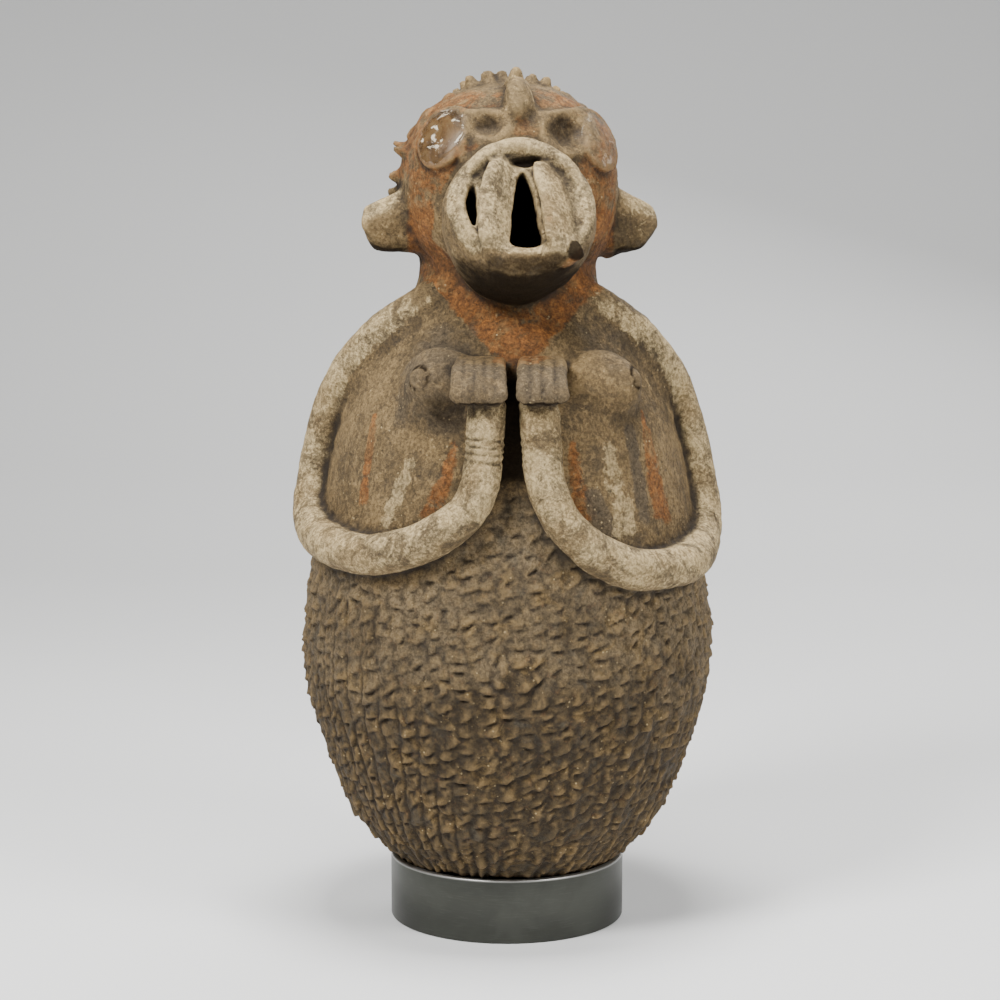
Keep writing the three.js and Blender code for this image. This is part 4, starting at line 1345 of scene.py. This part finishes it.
class VESSEL_OT_clay_body(bpy.types.Operator):
    """Model the clay vessel as one hollow body with its head, arms and pressed scales"""
    bl_idname = "vessel.clay_body"
    bl_label = "Clay Body"

    def execute(self, context):
        sizes = context.scene.vessel_sizes
        rng = np.random.default_rng(5)
        forms = [
            formed(head, place=HEAD_FRAME),
            formed(knobs, rng, place=HEAD_FRAME),
            formed(face_forms, place=HEAD_FRAME),
            formed(snout),
            formed(mouth_forms, place=MOUTH_FRAME),
            formed(body),
            formed(breasts),
        ]
        for side in (-1, 1):
            forms.append(formed(ear, side, place=HEAD_FRAME))
            forms.append(formed(shoulder, side))
            forms.append(formed(coil, arm_path(side), arm_thickness))
        forms += [formed(hand, *details) for details in HANDS]
        piece = gathered("clay_vessel", forms)
        fuse(piece, sizes.clay_step)
        hollows = [cutter_object("eye_hollow", eye_hollow, *details) for details in EYE_HOLLOWS]
        hollows.append(cutter_object("mouth_opening", plate_cut, MOUTH_OPENING, CUT_FROM, CUT_THROUGH))
        hollows.append(cutter_object("side_slot", plate_cut, SIDE_SLOT, CUT_FROM, CUT_THROUGH))
        hollows.append(cutter_object("lip_hollow", plate_cut, LIP_HOLLOW, CUT_FROM, LIP_HOLLOW_DEPTH))
        cut(piece, *hollows)
        fuse(piece, sizes.clay_step)
        soften(piece, 2)
        creases_and_hollows = work_surface(piece, sizes)
        thin_out(piece, sizes.face_limit)
        cut(
            piece,
            cutter_object("body_hollow", body_hollow),
            cutter_object("head_hollow", head_hollow),
            cutter_object("snout_hollow", snout_hollow),
        )
        paint_surface(piece, sizes, creases_and_hollows)
        settle(piece)
        shade_smooth(piece)
        finish_with(piece, ClayFinish(context.scene.vessel_colours).whole())
        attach(piece, "root")
        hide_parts("vessel")
        return {"FINISHED"}


class VESSEL_OT_stand_ring(bpy.types.Operator):
    """Turn the steel ring that cradles the round bottom"""
    bl_idname = "vessel.stand_ring"
    bl_label = "Stand Ring"

    def execute(self, context):
        bm = bmesh.new()
        inside = RING_RADIUS - RING_WALL
        section = ((inside, 0), (RING_RADIUS, 0), (RING_RADIUS, RING_HEIGHT), (inside, RING_HEIGHT))
        turned(bm, [*section, section[0]], steps=192)
        bmesh.ops.recalc_face_normals(bm, faces=bm.faces)
        rims = [edge for edge in bm.edges if edge.calc_face_angle(0) > 1]
        bmesh.ops.bevel(bm, geom=rims, offset=0.7, segments=3, profile=0.5, affect="EDGES", material=-1)
        piece = mesh_object("steel_ring", bm)
        settle(piece)
        shade_smooth(piece, 40)
        finish_with(piece, waxed_steel(context.scene.vessel_colours))
        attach(piece, "root")
        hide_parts("stand_ring")
        return {"FINISHED"}


class VESSEL_OT_studio(bpy.types.Operator):
    """Set the floor, the soft lights and the camera"""
    bl_idname = "vessel.studio"
    bl_label = "Studio"

    def execute(self, context):
        settings = context.scene.vessel_studio
        bm = bmesh.new()
        bmesh.ops.create_grid(bm, x_segments=2, y_segments=24, size=FLOOR_HALF)
        for vert in bm.verts:
            past_bend = max(vert.co.y - FLOOR_BEND, 0) / (FLOOR_HALF - FLOOR_BEND)
            vert.co.z = FLOOR_RISE * past_bend ** 2
        floor = mesh_object("studio_floor", bm)
        shade_smooth(floor)
        finish_with(floor, studio_floor(settings))

        for name, place, size, share in LIGHTS:
            data = bpy.data.lights.new(name, "AREA")
            data.energy = settings.key_power * share
            data.size = size
            lamp = bpy.data.objects.new(name, data)
            lamp.location = place
            aim = LIT_POINT - lamp.location
            lamp.rotation_euler = aim.to_track_quat("-Z", "Y").to_euler()
            context.scene.collection.objects.link(lamp)
        world = bpy.data.worlds.new("studio_air")
        world.use_nodes = True
        air = world.node_tree.nodes["Background"]
        air.inputs["Color"].default_value = AIR_TONE
        air.inputs["Strength"].default_value = AIR_STRENGTH
        context.scene.world = world

        lens = bpy.data.cameras.new("studio_camera")
        lens.lens = settings.lens
        lens.sensor_width = 36
        camera = bpy.data.objects.new("studio_camera", lens)
        camera.location = CAMERA_PLACE
        camera.rotation_euler = (CAMERA_TILT, 0, 0)
        context.scene.collection.objects.link(camera)
        context.scene.camera = camera
        return {"FINISHED"}


class VESSEL_PT_panel(bpy.types.Panel):
    """Lists the vessel's pieces and the sizes and colours to change"""
    bl_idname = "VESSEL_PT_panel"
    bl_label = "Figurative Vessel"
    bl_space_type = "VIEW_3D"
    bl_region_type = "UI"
    bl_category = "Vessel"

    def draw(self, context):
        for operator in OPERATORS:
            self.layout.operator(operator.bl_idname)
        for group in SETTINGS:
            box = self.layout.box()
            for name in SETTINGS[group].__annotations__:
                box.prop(getattr(context.scene, group), name)


OPERATORS = (VESSEL_OT_clay_body, VESSEL_OT_stand_ring, VESSEL_OT_studio)
SETTINGS = {"vessel_sizes": ClaySizes, "vessel_colours": VesselColours, "vessel_studio": StudioSettings}
CLASSES = (*SETTINGS.values(), *OPERATORS, VESSEL_PT_panel)


def register():
    for kind in CLASSES:
        bpy.utils.register_class(kind)
    for name, kind in SETTINGS.items():
        setattr(bpy.types.Scene, name, PointerProperty(type=kind))


def unregister():
    for name in SETTINGS:
        delattr(bpy.types.Scene, name)
    for kind in reversed(CLASSES):
        bpy.utils.unregister_class(kind)


def main():
    register()
    bpy.ops.vessel.clay_body()
    bpy.ops.vessel.stand_ring()
    bpy.ops.vessel.studio()


if __name__ == "__main__":
    main()
